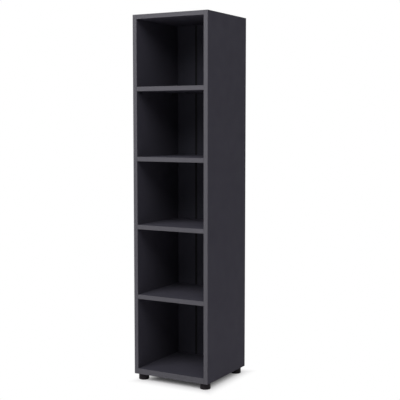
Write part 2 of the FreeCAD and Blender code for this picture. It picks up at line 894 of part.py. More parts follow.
def feet():
    """Four levelling feet with their nuts, screws and access caps."""
    nuts = []
    screws = []
    caps = []
    for name, x, y, turn in FEET:
        collar = keep(foot_collar(f"foot_collar_{name}"), x, y, "0")
        collar.Placement.Rotation = turn
        keep(foot_glide(f"foot_glide_{name}"), x, y, "0")
        keep(foot_spindle(f"foot_spindle_{name}"), x, y, "0")
        nuts.append((x, y, "foot_height", AS_MADE))
        caps.append((x, y, "foot_height + bottom_board", AS_MADE))
        plate = "foot_height - collar_plate"
        inwards = "+" if turn is AS_MADE else "-"
        screws.append((f"{x} {inwards} collar_screw_reach", y, plate, AS_MADE))
        screws.append((x, f"{y} + collar_screw_reach", plate, AS_MADE))
        screws.append((x, f"{y} - collar_screw_reach", plate, AS_MADE))
    group("foot_nuts", foot_nut(), nuts)
    group("collar_screws", collar_screw(), screws)
    group("access_caps", access_cap(), caps)


def check():
    """Stop if an object failed or a piece has no sound shape."""
    failed = [item.Name for item in doc.Objects if {"Invalid", "Error"} & set(item.State)]
    unsound = [item.Label for item in parts if item.Shape.isNull() or not item.Shape.isValid()]
    if failed or unsound:
        raise ValueError(f"failed objects {failed}, unsound pieces {unsound}")


def export():
    """Write one file for each piece."""
    os.makedirs("parts", exist_ok=True)
    for item in parts:
        item.Shape.exportStep(f"parts/{item.Label}.step")
    print(len(parts), "pieces written")


carcass()
loose_shelves()
back()
fittings()
shelf_pins()
feet()
doc.recompute()
check()
export()
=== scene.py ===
"""Open bookcase, dressed: finishes, hardware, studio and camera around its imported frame. Metres, +Z up."""

import json
import logging
import math
from collections.abc import Callable, Sequence
from dataclasses import dataclass, field
from enum import Enum
from typing import Any, ClassVar

import bmesh
import bpy
from mathutils import Matrix, Vector

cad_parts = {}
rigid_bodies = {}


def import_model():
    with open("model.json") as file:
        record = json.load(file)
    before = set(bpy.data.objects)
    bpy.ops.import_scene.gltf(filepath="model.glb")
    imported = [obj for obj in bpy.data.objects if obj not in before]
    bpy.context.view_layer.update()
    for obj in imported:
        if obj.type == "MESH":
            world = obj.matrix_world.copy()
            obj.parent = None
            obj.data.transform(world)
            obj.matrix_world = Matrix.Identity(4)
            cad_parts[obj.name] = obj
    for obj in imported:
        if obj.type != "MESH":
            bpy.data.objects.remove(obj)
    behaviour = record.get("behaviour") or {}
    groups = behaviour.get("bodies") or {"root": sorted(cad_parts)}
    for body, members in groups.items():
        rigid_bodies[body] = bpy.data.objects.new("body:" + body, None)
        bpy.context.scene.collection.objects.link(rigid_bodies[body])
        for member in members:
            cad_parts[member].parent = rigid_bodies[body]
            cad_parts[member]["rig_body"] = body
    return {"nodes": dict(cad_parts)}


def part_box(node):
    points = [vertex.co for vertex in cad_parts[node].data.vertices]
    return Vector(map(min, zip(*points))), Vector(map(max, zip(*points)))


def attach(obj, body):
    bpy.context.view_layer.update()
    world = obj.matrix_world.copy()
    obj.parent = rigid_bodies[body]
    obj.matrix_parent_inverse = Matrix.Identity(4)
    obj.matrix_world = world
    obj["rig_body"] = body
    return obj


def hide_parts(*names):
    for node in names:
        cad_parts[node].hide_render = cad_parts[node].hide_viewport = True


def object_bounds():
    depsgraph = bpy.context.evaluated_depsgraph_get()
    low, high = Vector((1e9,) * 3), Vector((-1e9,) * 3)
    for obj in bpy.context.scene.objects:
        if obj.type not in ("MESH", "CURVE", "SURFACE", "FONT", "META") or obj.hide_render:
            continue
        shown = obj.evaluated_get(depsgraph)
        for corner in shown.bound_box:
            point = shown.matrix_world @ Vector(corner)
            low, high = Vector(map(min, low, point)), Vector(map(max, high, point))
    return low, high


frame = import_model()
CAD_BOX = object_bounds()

Color = tuple[float, float, float]
Stretch = tuple[float, float, float]
Span = tuple[float, float]
Radius = float | Callable[[float], float]
Mesh = bmesh.types.BMesh
Socket = bpy.types.NodeSocket
Material = bpy.types.Material
Piece = bpy.types.Object

MM = 0.001
WELD = 0.002 * MM
CREASE = math.radians(32)

log = logging.getLogger("bookcase")


class Axis(Enum):
    """Direction of the frame that a piece or its grain runs along."""

    X = 0
    Y = 1
    Z = 2

    def unit(self) -> Vector:
        """Unit vector along the axis."""
        return Vector([float(index == self.value) for index in range(3)])


class Slot(Enum):
    """Material slots of the record."""

    BOARD = "melamine"
    BAND = "edge_band"
    LEAF = "back_leaf"
    STRIP = "strip_plastic"
    FOOT = "foot_plastic"
    CAP = "cap_plastic"
    STEEL = "zinc_steel"
    PIN = "pin_steel"
    CAM = "cast_zinc"
    DOWEL = "beech"


class Shelf(Enum):
    """Shelves that lie loose on their pins."""

    UPPER = "upper_shelf"
    MIDDLE = "middle_shelf"
    LOWER = "lower_shelf"


class Corner(Enum):
    """Corners that the levelling feet stand under."""

    FRONT_LEFT = "front_left"
    FRONT_RIGHT = "front_right"
    REAR_LEFT = "rear_left"
    REAR_RIGHT = "rear_right"


# Shading

WHITE: Color = (1.0, 1.0, 1.0)
FULL: Span = (0.0, 1.0)
# Values that most of a noise lies between, and that its middle part lies between
NOISE_SPAN: Span = (0.3, 0.7)
NOISE_CORE: Span = (0.35, 0.65)
# Values of a noise between which an arris goes from whole to rubbed
RUB_SPAN: Span = (0.48, 0.66)
# Cosine of the angle to the flat face where an arris begins and where it is full
ARRIS_SPAN: Span = (0.995, 0.9)
ARRIS_SAMPLES = 6


def opaque(color: Any) -> Any:
    """Add full alpha to a colour, and leave a socket as it is."""
    return color if isinstance(color, Socket) else (*color, 1.0)


def scaled(color: Color, share: float) -> list[float]:
    """Make a colour darker or lighter by a share."""
    return [share * part for part in color]


@dataclass(frozen=True)
class Wear:
    """Stretches of the arrises that handling has rubbed lighter.

    Attributes:
        length: Length of one stretch.
        share: Share of the rubbed colour at its strongest.
        gain: How many times lighter the rubbed colour is.
    """

    length: float
    share: float
    gain: float


class NodeGraph:
    """Node tree of a world or a material, with short ways to fill it."""

    def __init__(self, tree: bpy.types.NodeTree) -> None:
        """Start with an empty tree."""
        self.tree = tree
        self.tree.nodes.clear()

    def join(self, source: Any, target: Socket) -> None:
        """Feed an input of a node.

        Args:
            source: Socket to link or constant to set.
            target: The input.
        """
        if isinstance(source, Socket):
            self.tree.links.new(source, target)
        else:
            target.default_value = source

    def add(self, kind: str, inputs: dict[str | int, Any] | None = None, **settings: Any) -> bpy.types.Node:
        """Add a shader node.

        Args:
            kind: Node type without its common prefix.
            inputs: Sockets to link or constants to set, by input name or number.
            **settings: Properties of the node itself.

        Returns:
            The new node.
        """
        node = self.tree.nodes.new("ShaderNode" + kind)
        for key, setting in settings.items():
            setattr(node, key, setting)
        for key, source in (inputs or {}).items():
            self.join(source, node.inputs[key])
        return node

    def compute(self, operation: str, first: Socket | float, second: Socket | float) -> Socket:
        """Join two numbers by a product, comparison or maximum."""
        return self.add("Math", {0: first, 1: second}, operation=operation).outputs[0]

    def background_rays(self) -> Socket:
        """Mask of the rays that show a background, straight or in metal and glass.

        Returns:
            Socket of 1 for those rays.
        """
        path = self.add("LightPath")
        mask = path.outputs["Is Camera Ray"]
        for kind in ("Is Glossy Ray", "Is Transmission Ray"):
            mask = self.compute("MAXIMUM", mask, path.outputs[kind])
        return mask


class Graph(NodeGraph):
    """Node tree of one material, with what the finishes share."""

    def __init__(self, name: str) -> None:
        """Start a material with one principled shader.

        Args:
            name: Name of the material.
        """
        self.material: Material = bpy.data.materials.new(name)
        self.material.use_nodes = True
        super().__init__(self.material.node_tree)
        self.shader = self.add("BsdfPrincipled")
        self.output = self.add("OutputMaterial", {"Surface": self.shader.outputs["BSDF"]})

    def feed(self, **sources: Any) -> None:
        """Feed inputs of the shader, named with underscores for spaces."""
        for key, source in sources.items():
            self.join(source, self.shader.inputs[key.replace("_", " ")])

    def place(self, offset: Sequence[float] = (0, 0, 0), stretch: Sequence[float] = (1, 1, 1)) -> Socket:
        """Position on the piece, in metres of the frame.

        Args:
            offset: Shift of the pattern, so that like pieces differ.
            stretch: Share of the distance that counts along each axis.

        Returns:
            Vector socket.
        """
        spot = self.add("TexCoord").outputs["Object"]
        inputs = {"Vector": spot, "Location": offset, "Scale": stretch}
        return self.add("Mapping", inputs).outputs["Vector"]

    def noise(self, spot: Socket, size: float, detail: float = 2.0) -> Socket:
        """Cloudy noise from 0 to 1, with clouds of one width and octaves of detail in them."""
        inputs = {"Vector": spot, "Scale": 1 / size, "Detail": detail}
        return self.add("TexNoise", inputs).outputs["Fac"]

    def cells(self, spot: Socket, size: float, feature: str = "F1") -> bpy.types.Node:
        """Texture node of cells of about one width."""
        return self.add("TexVoronoi", {"Vector": spot, "Scale": 1 / size}, feature=feature)

    def vector(self, operation: str, first: Socket, second: Sequence[float] = (0, 0, 0)) -> Socket:
        """Change a vector by another."""
        return self.add("VectorMath", {0: first, 1: second}, operation=operation).outputs["Vector"]

    def spread(self, factor: Socket, span: Span, ends: Span, ease: str = "LINEAR") -> Socket:
        """Map a span of values to another and hold it at its ends.

        Args:
            factor: Value to map.
            span: Values that give the two ends.
            ends: Results at the two ends.
            ease: Way to go from one end to the other.

        Returns:
            Mapped socket.
        """
        inputs = {"Value": factor, "From Min": span[0], "From Max": span[1]}
        inputs |= {"To Min": ends[0], "To Max": ends[1]}
        return self.add("MapRange", inputs, interpolation_type=ease).outputs["Result"]

    def blend(self, factor: Socket | float, first: Any, second: Any, mode: str = "MIX") -> Socket:
        """Blend two colours or sockets by the share of the second."""
        inputs = {0: factor, 6: opaque(first), 7: opaque(second)}
        return self.add("Mix", inputs, data_type="RGBA", blend_type=mode).outputs[2]

    def shades(self, factor: Socket, color: Color, ends: Span) -> Socket:
        """Colour that runs from one share of itself to another."""
        return self.blend(factor, scaled(color, ends[0]), scaled(color, ends[1]))

    def mottle(self, face: Socket, pattern: Socket, ends: Span, span: Span = NOISE_SPAN) -> Socket:
        """Colour made darker and lighter by a pattern."""
        return self.blend(1.0, face, self.spread(pattern, span, ends), "MULTIPLY")

    def soft_edges(self, radius: float) -> Socket:
        """Normal that rounds the piece's arrises."""
        return self.add("Bevel", {"Radius": radius}, samples=ARRIS_SAMPLES).outputs["Normal"]

    def rubbed(self, face: Socket, color: Color, rounded: Socket, spot: Socket, wear: Wear) -> Socket:
        """Colour whose arrises are rubbed lighter in stretches.

        Args:
            face: Colour of the faces.
            color: Colour that the rubbed one is a lighter shade of.
            rounded: Normal from soft_edges.
            spot: Position on the piece.
            wear: How the arrises are rubbed.

        Returns:
            Colour socket.
        """
        flat = self.add("NewGeometry").outputs["Normal"]
        turn = self.add("VectorMath", {0: rounded, 1: flat}, operation="DOT_PRODUCT").outputs["Value"]
        edge = self.spread(turn, ARRIS_SPAN, FULL)
        stretches = self.spread(self.noise(spot, wear.length, detail=3.0), RUB_SPAN, FULL)
        mask = self.compute("MULTIPLY", edge, stretches)
        return self.blend(self.compute("MULTIPLY", mask, wear.share), face, scaled(color, wear.gain))

    def bump(self, height: Socket, depth: float, base: Socket | None = None) -> Socket:
        """Normal raised by a height.

        Args:
            height: Socket from 0 to 1.
            depth: Metres between 0 and 1.
            base: Normal to start from.

        Returns:
            Normal socket.
        """
        inputs: dict[str | int, Any] = {"Height": height, "Distance": depth}
        if base is not None:
            inputs["Normal"] = base
        return self.add("Bump", inputs).outputs["Normal"]


@dataclass(frozen=True, kw_only=True)
class Finish:
    """Look of the pieces in one slot.

    Attributes:
        own: Whether every piece has a material of its own.
        color: Colour of the surface.
        roughness: Lowest and highest roughness.
    """

    own: ClassVar[bool] = False
    color: Color
    roughness: Span

    def paint(self, graph: Graph, node: str) -> None:
        """Fill the material of a CAD node's piece."""
        raise NotImplementedError


@dataclass(frozen=True, kw_only=True)
class CoatedFinish(Finish):
    """Opaque surface in soft clouds of shade.

    Attributes:
        sheen: Specular level.
        cloud: Width of the clouds.
        drift: Shades of the clouds.
        arris: Rounding of the edges.
    """

    sheen: float
    cloud: float
    drift: Span
    arris: float


@dataclass(frozen=True, kw_only=True)
class BoardFinish(CoatedFinish):
    """Melamine-faced chipboard with a fine pearl texture, whose chips show in the bores, darker than bare
    chipboard as painted shade.

    Attributes:
        wear: Rubbing of the edges.
        fleck: Width of the flecks in the print.
        fleck_shades: Shades of the flecks.
        smear: Width of the patches that shine alike.
        pearl: Width of one pearl.
        pearl_height: Height of one pearl.
        core_and_bore_shade: Colour of the chips inside, darker than bare chipboard: painted shade in the
            bores.
        chip: Width of one chip.
        chip_shades: Shades of the chips.
        skin: Depth under the faces at which the chips begin.
    """

    own: ClassVar[bool] = True
    color: Color = (0.0573, 0.0550, 0.0715)
    roughness: Span = (0.53, 0.64)
    sheen: float = 0.035
    cloud: float = 180 * MM
    drift: Span = (0.95, 1.05)
    arris: float = 0.5 * MM
    wear: Wear = Wear(length=35 * MM, share=0.5, gain=1.9)
    fleck: float = 0.7 * MM
    fleck_shades: Span = (0.9, 1.1)
    smear: float = 60 * MM
    pearl: float = 1.3 * MM
    pearl_height: float = 0.03 * MM
    # Chip colour darker than bare chipboard: painted shade in the bores
    core_and_bore_shade: Color = (0.10, 0.070, 0.045)
    chip: float = 1.6 * MM
    chip_shades: Span = (0.35, 1.1)
    skin: float = 0.3 * MM

    def paint(self, graph: Graph, node: str) -> None:
        """Fill the material of one board.

        Args:
            graph: The board's own material.
            node: CAD node of the board.
        """
        low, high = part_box(node)
        spot = graph.place(low + high)
        face = graph.shades(graph.noise(spot, self.cloud, detail=3.0), self.color, self.drift)
        face = graph.mottle(face, graph.noise(spot, self.fleck, detail=1.0), self.fleck_shades, NOISE_CORE)
        rounded = graph.soft_edges(self.arris)
        face = graph.rubbed(face, self.color, rounded, spot, self.wear)
        cells = graph.cells(spot, self.chip).outputs["Color"]
        chips = graph.add("SeparateColor", {0: cells}).outputs["Red"]
        # Chips in the bores, darkened as painted shade
        core_and_bore_shade = graph.shades(chips, self.core_and_bore_shade, self.chip_shades)
        smear = graph.noise(spot, self.smear, detail=4.0)
        pearls = graph.cells(spot, self.pearl, "SMOOTH_F1").outputs["Distance"]
        graph.feed(
            Base_Color=graph.blend(self._inside(graph, low, high), face, core_and_bore_shade),
            Roughness=graph.spread(smear, NOISE_SPAN, self.roughness),
            Specular_IOR_Level=self.sheen,
            Normal=graph.bump(pearls, self.pearl_height, rounded),
        )

    def _inside(self, graph: Graph, low: Vector, high: Vector) -> Socket:
        """Mask of the points that lie under the board's skin, on the walls of its bores, where the darkened
        chips paint shade.

        Args:
            graph: Material of the board.
            low: Lowest corner of the board.
            high: Highest corner of the board.

        Returns:
            Socket of 1 inside and 0 on the outer faces.
        """
        spot = graph.add("TexCoord").outputs["Object"]
        mask: Socket | float = 1.0
        for face, sign in ((low, 1.0), (high, -1.0)):
            split = graph.add("SeparateXYZ", {0: graph.vector("SUBTRACT", spot, face)})
            for axis in Axis:
                depth = graph.compute("MULTIPLY", split.outputs[axis.value], sign)
                mask = graph.compute("MULTIPLY", mask, graph.compute("GREATER_THAN", depth, self.skin))
        return mask


@dataclass(frozen=True, kw_only=True)
class LeafFinish(CoatedFinish):
    """Roller-lacquered fibreboard of the back.

    Attributes:
        ripple: Width of the ripples that the roller leaves.
        ripple_height: Height of the ripples.
        ripple_shades: Shades of the ripples.
        stretch: Share of the distance that counts along each axis of the ripples.
    """

    own: ClassVar[bool] = True
    color: Color = (0.0505, 0.0500, 0.0655)
    roughness: Span = (0.55, 0.66)
    sheen: float = 0.035
    cloud: float = 240 * MM
    drift: Span = (0.93, 1.07)
    arris: float = 0.3 * MM
    ripple: float = 2.4 * MM
    ripple_height: float = 0.025 * MM
    ripple_shades: Span = (0.96, 1.04)
    stretch: Stretch = (1.0, 1.0, 0.12)

    def paint(self, graph: Graph, node: str) -> None:
        """Fill the material of one leaf.

        Args:
            graph: The leaf's own material.
            node: CAD node of the leaf.
        """
        low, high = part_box(node)
        ripple = graph.noise(graph.place(low + high, self.stretch), self.ripple)
        cloud = graph.noise(graph.place(low + high), self.cloud, detail=4.0)
        face = graph.shades(cloud, self.color, self.drift)
        graph.feed(
            Base_Color=graph.mottle(face, ripple, self.ripple_shades),
            Roughness=graph.spread(cloud, NOISE_SPAN, self.roughness),
            Specular_IOR_Level=self.sheen,
            Normal=graph.bump(ripple, self.ripple_height, graph.soft_edges(self.arris)),
        )


@dataclass(frozen=True, kw_only=True)
class MouldedFinish(CoatedFinish):
    """Moulded plastic with an etched grain.

    Attributes:
        wear: Rubbing of the edges.
        grain: Width of the grain.
        grain_height: Height of the grain.
        grain_shades: Shades of the grain.
        stretch: Share of the distance that counts along each axis of the grain.
    """

    roughness: Span = (0.44, 0.56)
    cloud: float = 20 * MM
    drift: Span = (0.9, 1.1)
    arris: float = 0.35 * MM
    wear: Wear = Wear(length=9 * MM, share=0.5, gain=2.2)
    grain: float = 0.45 * MM
    grain_height: float = 0.02 * MM
    grain_shades: Span = (0.92, 1.08)
    stretch: Stretch = (1.0, 1.0, 1.0)

    def paint(self, graph: Graph, node: str) -> None:
        """Fill the material of one piece, or of every piece in the slot.

        Args:
            graph: The material.
            node: CAD node of the piece, or of the first in the slot.
        """
        offset, stretch = self.layout(node)
        spot = graph.place(offset)
        grain = graph.noise(graph.place(offset, stretch), self.grain)
        face = graph.shades(graph.noise(spot, self.cloud, detail=3.0), self.color, self.drift)
        face = graph.mottle(face, grain, self.grain_shades)
        rounded = graph.soft_edges(self.arris)
        graph.feed(
            Base_Color=graph.rubbed(face, self.color, rounded, spot, self.wear),
            Roughness=graph.spread(grain, NOISE_SPAN, self.roughness),
            Specular_IOR_Level=self.sheen,
            Normal=graph.bump(grain, self.grain_height, rounded),
        )

    def layout(self, node: str) -> tuple[Vector, Stretch]:
        """Shift of the pattern on a piece, which is none here, and stretch of its grain."""
        return Vector(), self.stretch


@dataclass(frozen=True, kw_only=True)
class BandFinish(MouldedFinish):
    """Extruded plastic edge band, satin, whose grain is drawn out along its length, with painted light in
    its colour.

    Attributes:
        draw: Share of the distance that counts along the band.
    """

    own: ClassVar[bool] = True
    # Lighter than the board: partly the band's own grey, partly painted light on the edges that face the
    # lamps
    color: Color = (0.1066, 0.1042, 0.1178)
    roughness: Span = (0.51, 0.61)
    sheen: float = 0.08
    cloud: float = 120 * MM
    drift: Span = (0.95, 1.05)
    arris: float = 0.3 * MM
    wear: Wear = Wear(length=30 * MM, share=0.4, gain=1.7)
    grain: float = 0.35 * MM
    grain_height: float = 0.012 * MM
    grain_shades: Span = (0.95, 1.05)
    draw: float = 0.02

    def layout(self, node: str) -> tuple[Vector, Stretch]:
        """Shift of the pattern on a band, and stretch of its grain.

        Args:
            node: CAD node of the band.

        Returns:
            The shift, and the share of the distance that counts along each axis.
        """
        low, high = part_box(node)
        size = high - low
        lengthwise = max(Axis, key=lambda axis: size[axis.value])
        return low + high, tuple(self.draw if axis is lengthwise else 1.0 for axis in Axis)


@dataclass(frozen=True, kw_only=True)
class MetalFinish(Finish):
    """Plated or cast metal, with the drift of tint that plating leaves.

    Attributes:
        tint: Colour that it drifts to.
        cloud: Width of the clouds of tint.
        grain: Width of the grain.
        grain_height: Height of the grain.
        arris: Rounding of the edges.
    """

    tint: Color
    cloud: float
    grain: float = 0.25 * MM
    grain_height: float = 0.004 * MM
    arris: float = 0.15 * MM

    def paint(self, graph: Graph, node: str) -> None:
        """Fill the material of all the metal in the slot.

        Args:
            graph: The shared material.
            node: CAD node of the first piece; not used.
        """
        spot = graph.place()
        cloud = graph.spread(graph.noise(spot, self.cloud, detail=3.0), NOISE_CORE, FULL)
        grain = graph.noise(spot, self.grain, detail=3.0)
        graph.feed(
            Base_Color=graph.blend(cloud, self.color, self.tint),
            Metallic=1.0,
            Roughness=graph.spread(grain, NOISE_SPAN, self.roughness),
            Normal=graph.bump(grain, self.grain_height, graph.soft_edges(self.arris)),
        )


@dataclass(frozen=True, kw_only=True)
class BeechFinish(Finish):
    """Bare beech with its grain along X and short dark flecks.

    Attributes:
        grain: Width of the grain.
        grain_height: Height of the grain.
        grain_shades: Shades of the grain.
        fleck: Width of the flecks.
        fleck_span: Values of the noise between which a fleck goes from bare to full.
        fleck_shades: Shades of the bare wood and of a fleck.
        stretch: Share of the distance that counts along each axis of the grain.
    """

    color: Color = (0.52, 0.36, 0.22)
    roughness: Span = (0.54, 0.66)
    grain: float = 1.2 * MM
    grain_height: float = 0.02 * MM
    grain_shades: Span = (0.8, 1.15)
    fleck: float = 0.5 * MM
    fleck_span: Span = (0.62, 0.7)
    fleck_shades: Span = (1.0, 0.7)
    stretch: Stretch = (0.08, 1.0, 1.0)

    def paint(self, graph: Graph, node: str) -> None:
        """Fill the material of the dowels.

        Args:
            graph: The shared material.
            node: CAD node of the dowels; not used.
        """
        along = graph.place(stretch=self.stretch)
        grain = graph.noise(along, self.grain, detail=4.0)
        fleck = graph.noise(along, self.fleck, detail=1.0)
        face = graph.shades(grain, self.color, self.grain_shades)
        graph.feed(
            Base_Color=graph.mottle(face, fleck, self.fleck_shades, self.fleck_span),
            Roughness=graph.spread(grain, NOISE_SPAN, self.roughness),
            Normal=graph.bump(grain, self.grain_height),
        )


@dataclass
class Finishes:
    """Finishes of the bookcase.

    Attributes:
        by_slot: Finish of every slot.
        made: Materials made so far, by name.
    """

    by_slot: dict[Slot, Finish] = field(default_factory=lambda: {
        Slot.BOARD: BoardFinish(),
        Slot.BAND: BandFinish(),
        Slot.LEAF: LeafFinish(),
        Slot.STRIP: MouldedFinish(
            color=(0.020, 0.020, 0.022), sheen=0.035,
            grain=0.3 * MM, grain_height=0.008 * MM, stretch=(1.0, 1.0, 0.02),
        ),
        Slot.FOOT: MouldedFinish(color=(0.0235, 0.0208, 0.0238), sheen=0.06),
        Slot.CAP: MouldedFinish(color=(0.0590, 0.0568, 0.0710), sheen=0.08),
        Slot.STEEL: MetalFinish(
            color=(0.58, 0.59, 0.61), tint=(0.50, 0.52, 0.56), roughness=(0.26, 0.44), cloud=6 * MM,
        ),
        Slot.PIN: MetalFinish(
            color=(0.070, 0.070, 0.075), tint=(0.055, 0.056, 0.062), roughness=(0.34, 0.52), cloud=5 * MM,
        ),
        Slot.CAM: MetalFinish(
            color=(0.47, 0.47, 0.48), tint=(0.40, 0.40, 0.42), roughness=(0.42, 0.60), cloud=4 * MM,
            grain=0.4 * MM, grain_height=0.015 * MM,
        ),
        Slot.DOWEL: BeechFinish(),
    })
    made: dict[str, Material] = field(default_factory=dict)

    def of(self, slot: Slot, node: str) -> Material:
        """Find or make the material that a piece wears.

        Args:
            slot: Slot of the piece.
            node: CAD node of the piece.

        Returns:
            The material, of its own for a board, a band or a leaf.
        """
        finish = self.by_slot[slot]
        name = f"{slot.value}_{node}" if finish.own else slot.value
        if name not in self.made:
            graph = Graph(name)
            finish.paint(graph, node)
            self.made[name] = graph.material
        return self.made[name]


# Meshes


@dataclass(frozen=True)
class Box:
    """Box of one solid.

    Attributes:
        low: Lowest corner.
        high: Highest corner.
    """

    low: Vector
    high: Vector

    @property
    def size(self) -> Vector:
        """Extent along each axis."""
        return self.high - self.low

    @property
    def middle(self) -> Vector:
        """Centre of the box."""
        return (self.low + self.high) / 2

    @property
    def on_left(self) -> bool:
        """Whether the box lies in the left half of the bookcase."""
        return self.middle.x < 0

    def end(self, axis: Axis, far: bool) -> Vector:
        """Centre of the face at one end of the box.

        Args:
            axis: Axis that the face is square to.
            far: Whether it is the face at the high end.

        Returns:
            The face's centre.
        """
        spot = self.middle
        spot[axis.value] = (self.high if far else self.low)[axis.value]
        return spot


Maker = Callable[[Mesh, Box], None]


def solids(node: str) -> list[Box]:
    """Boxes of the separate solids in one CAD node.

    Args:
        node: Name of the node.

    Returns:
        Box of each solid, from the lowest solid up.
    """
    mesh = bmesh.new()
    mesh.from_mesh(frame["nodes"][node].data)
    bmesh.ops.remove_doubles(mesh, verts=mesh.verts, dist=WELD)
    boxes = []
    for seed in mesh.verts:
        if seed.tag:
            continue
        seed.tag = True
        found = [seed]
        for vert in found:
            fresh = [edge.other_vert(vert) for edge in vert.link_edges]
            fresh = [other for other in fresh if not other.tag]
            for other in fresh:
                other.tag = True
            found.extend(fresh)
        low = Vector([min(vert.co[axis.value] for vert in found) for axis in Axis])
        high = Vector([max(vert.co[axis.value] for vert in found) for axis in Axis])
        boxes.append(Box(low, high))
    mesh.free()
    return sorted(boxes, key=lambda box: tuple(round(part, 5) for part in reversed(box.low)))


def stand(origin: Vector, towards: Vector) -> Matrix:
    """Place of a solid that has its origin at a point and its own +Z along a direction."""
    return Matrix.Translation(origin) @ towards.to_track_quat("Z", "Y").to_matrix().to_4x4()


@dataclass
class RingLoft:
    """Solid skinned over rings of points about +Z, in the order in which they are given.

    Attributes:
        sides: Evenly spaced points of a ring.
        corners: Further angles at which every ring has a point.
        closed: Whether the last ring joins the first, as in a nut.
        leg: Most of a leg of a profile that a rounded corner takes up.
        rings: Height and radius of each ring.
    """

    sides: int = 32
    corners: tuple[float, ...] = ()
    closed: bool = False
    leg: float = 0.45
    rings: list[tuple[float, Radius]] = field(default_factory=list)

    def ring(self, height: float, radius: Radius) -> None:
        """Add a ring."""
        self.rings.append((height, radius))

    def rounded(self, points: Sequence[Span], radius: float, steps: int = 4) -> None:
        """Add rings along a profile whose inner corners are rounded.

        Args:
            points: Height and radius of each point of the profile.
            radius: Rounding of every corner between the first and the last point.
            steps: Rings in one rounded corner.
        """
        spots = [Vector(point) for point in points]
        self.ring(*spots[0])
        for before, corner, after in zip(spots, spots[1:], spots[2:]):
            inwards = min(radius, self.leg * (before - corner).length, self.leg * (after - corner).length)
            start = corner + inwards * (before - corner).normalized()
            end = corner + inwards * (after - corner).normalized()
            for step in range(steps + 1):
                share = step / steps
                self.ring(*start.lerp(corner, share).lerp(corner.lerp(end, share), share))
        self.ring(*spots[-1])

    def build(self, mesh: Mesh, place: Matrix) -> None:
        """Skin the rings.

        Args:
            mesh: Mesh to add the solid to.
            place: Where the solid's own axes lie in the frame.
        """
        even = [math.tau * step / self.sides for step in range(self.sides)]
        angles = sorted({round(angle % math.tau, 9) for angle in [*even, *self.corners]})
        loops = []
        for height, radius in self.rings:
            reach = [radius(angle) if callable(radius) else radius for angle in angles]
            points = [(far * math.cos(a), far * math.sin(a), height) for far, a in zip(reach, angles)]
            loops.append([mesh.verts.new(place @ Vector(point)) for point in points])
        pairs = list(zip(loops, loops[1:]))
        if self.closed:
            pairs.append((loops[-1], loops[0]))
        else:
            self._cap(mesh, loops[0][::-1])
            self._cap(mesh, loops[-1])
        for lower, upper in pairs:
            for index in range(len(angles)):
                after = (index + 1) % len(angles)
                mesh.faces.new((lower[index], lower[after], upper[after], upper[index]))

    @staticmethod
    def _cap(mesh: Mesh, loop: list[bmesh.types.BMVert]) -> None:
        """Close a ring with a fan about its middle.

        Args:
            mesh: Mesh that holds the ring.
            loop: Points of the ring, anticlockwise as seen from outside.
        """
        middle = mesh.verts.new(sum((vert.co for vert in loop), Vector()) / len(loop))
        for first, second in zip(loop, [*loop[1:], loop[0]]):
            mesh.faces.new((middle, first, second))


@dataclass(frozen=True)
class Thread:
    """Right-hand screw thread on a rod.

    Attributes:
        radius: Radius over the crests.
        depth: Depth of the groove.
        pitch: Advance of one turn.
        rows: Rings in one turn.
        flank: Steepness of the flanks, where 1 leaves no flat on crest or root.
        crest: Share of the depth that the flat crest cuts off the flanks.
    """

    radius: float
    depth: float
    pitch: float
    rows: int = 8
    flank: float = 1.3
    crest: float = 0.15

    def cut(self, loft: RingLoft, start: float, end: float) -> None:
        """Add the thread's rings to a loft, with a run-out at each end.

        Args:
            loft: Loft of the whole rod.
            start: Height of the first ring.
            end: Height of the last ring.
        """
        count = max(2, round((end - start) / self.pitch * self.rows))
        for step in range(count + 1):
            height = start + (end - start) * step / count
            fade = min(1.0, (height - start) / self.pitch, (end - height) / self.pitch)
            loft.ring(height, self._radius_at(height, max(0.0, fade)))

    def _radius_at(self, height: float, fade: float) -> Callable[[float], float]:
        """Radius of the thread round one ring.

        Args:
            height: Height of the ring.
            fade: Share of the full depth there.

        Returns:
            Function from angle to radius.
        """

        def radius(angle: float) -> float:
            """Radius at one angle of the ring.

            Args:
                angle: Angle about the rod.

            Returns:
                The radius there.
            """
            turn = (height / self.pitch - angle / math.tau) % 1.0
            groove = min(1.0, max(0.0, self.flank * abs(2 * turn - 1) - self.crest))
            return self.radius - self.depth * fade * groove

        return radius


def hexagon(across_flats: float) -> Callable[[float], float]:
    """Radius of a hexagon with a corner on +X.

    Args:
        across_flats: Width of the hexagon.

    Returns:
        Function from angle to radius.
    """

    def radius(angle: float) -> float:
        """Radius at one angle."""
        from_flat = (angle % math.radians(60)) - math.radians(30)
        return across_flats / 2 / math.cos(from_flat)

    return radius


@dataclass(frozen=True)
class CrossRecess:
    """Cross-shaped recess for a driver.

    Attributes:
        span: Width over two opposite arms.
        width: Width of one arm.
        depth: Depth of the recess.
        taper: Share of the cross that is left at its bottom.
        slack: Angle by which a corner may miss its arm.
    """

    span: float
    width: float
    depth: float
    taper: float = 0.55
    slack: float = 1e-6

    @property
    def tip(self) -> float:
        """Angle from the middle of an arm to the corner of its end."""
        return math.atan2(self.width, self.span)

    def corners(self) -> tuple[float, ...]:
        """Angles of the cross's corners."""
        quarter = [self.tip, math.radians(45), math.radians(90) - self.tip]
        return tuple(angle + math.radians(90 * turn) for turn in range(4) for angle in quarter)

    def radius(self, angle: float) -> float:
        """Radius of the cross at one angle.

        Args:
            angle: Angle about the screw.

        Returns:
            The radius there.
        """
        from_arm = abs((angle + math.radians(45)) % math.radians(90) - math.radians(45))
        if from_arm <= self.tip + self.slack:
            return self.span / 2 / math.cos(from_arm)
        return self.width / 2 / math.sin(from_arm)

    def sink(self, loft: RingLoft, height: float) -> None:
        """Add the recess to the end of a loft, below the face at a height."""
        loft.ring(height, self.radius)
        loft.ring(height - self.depth, lambda angle: self.taper * self.radius(angle))


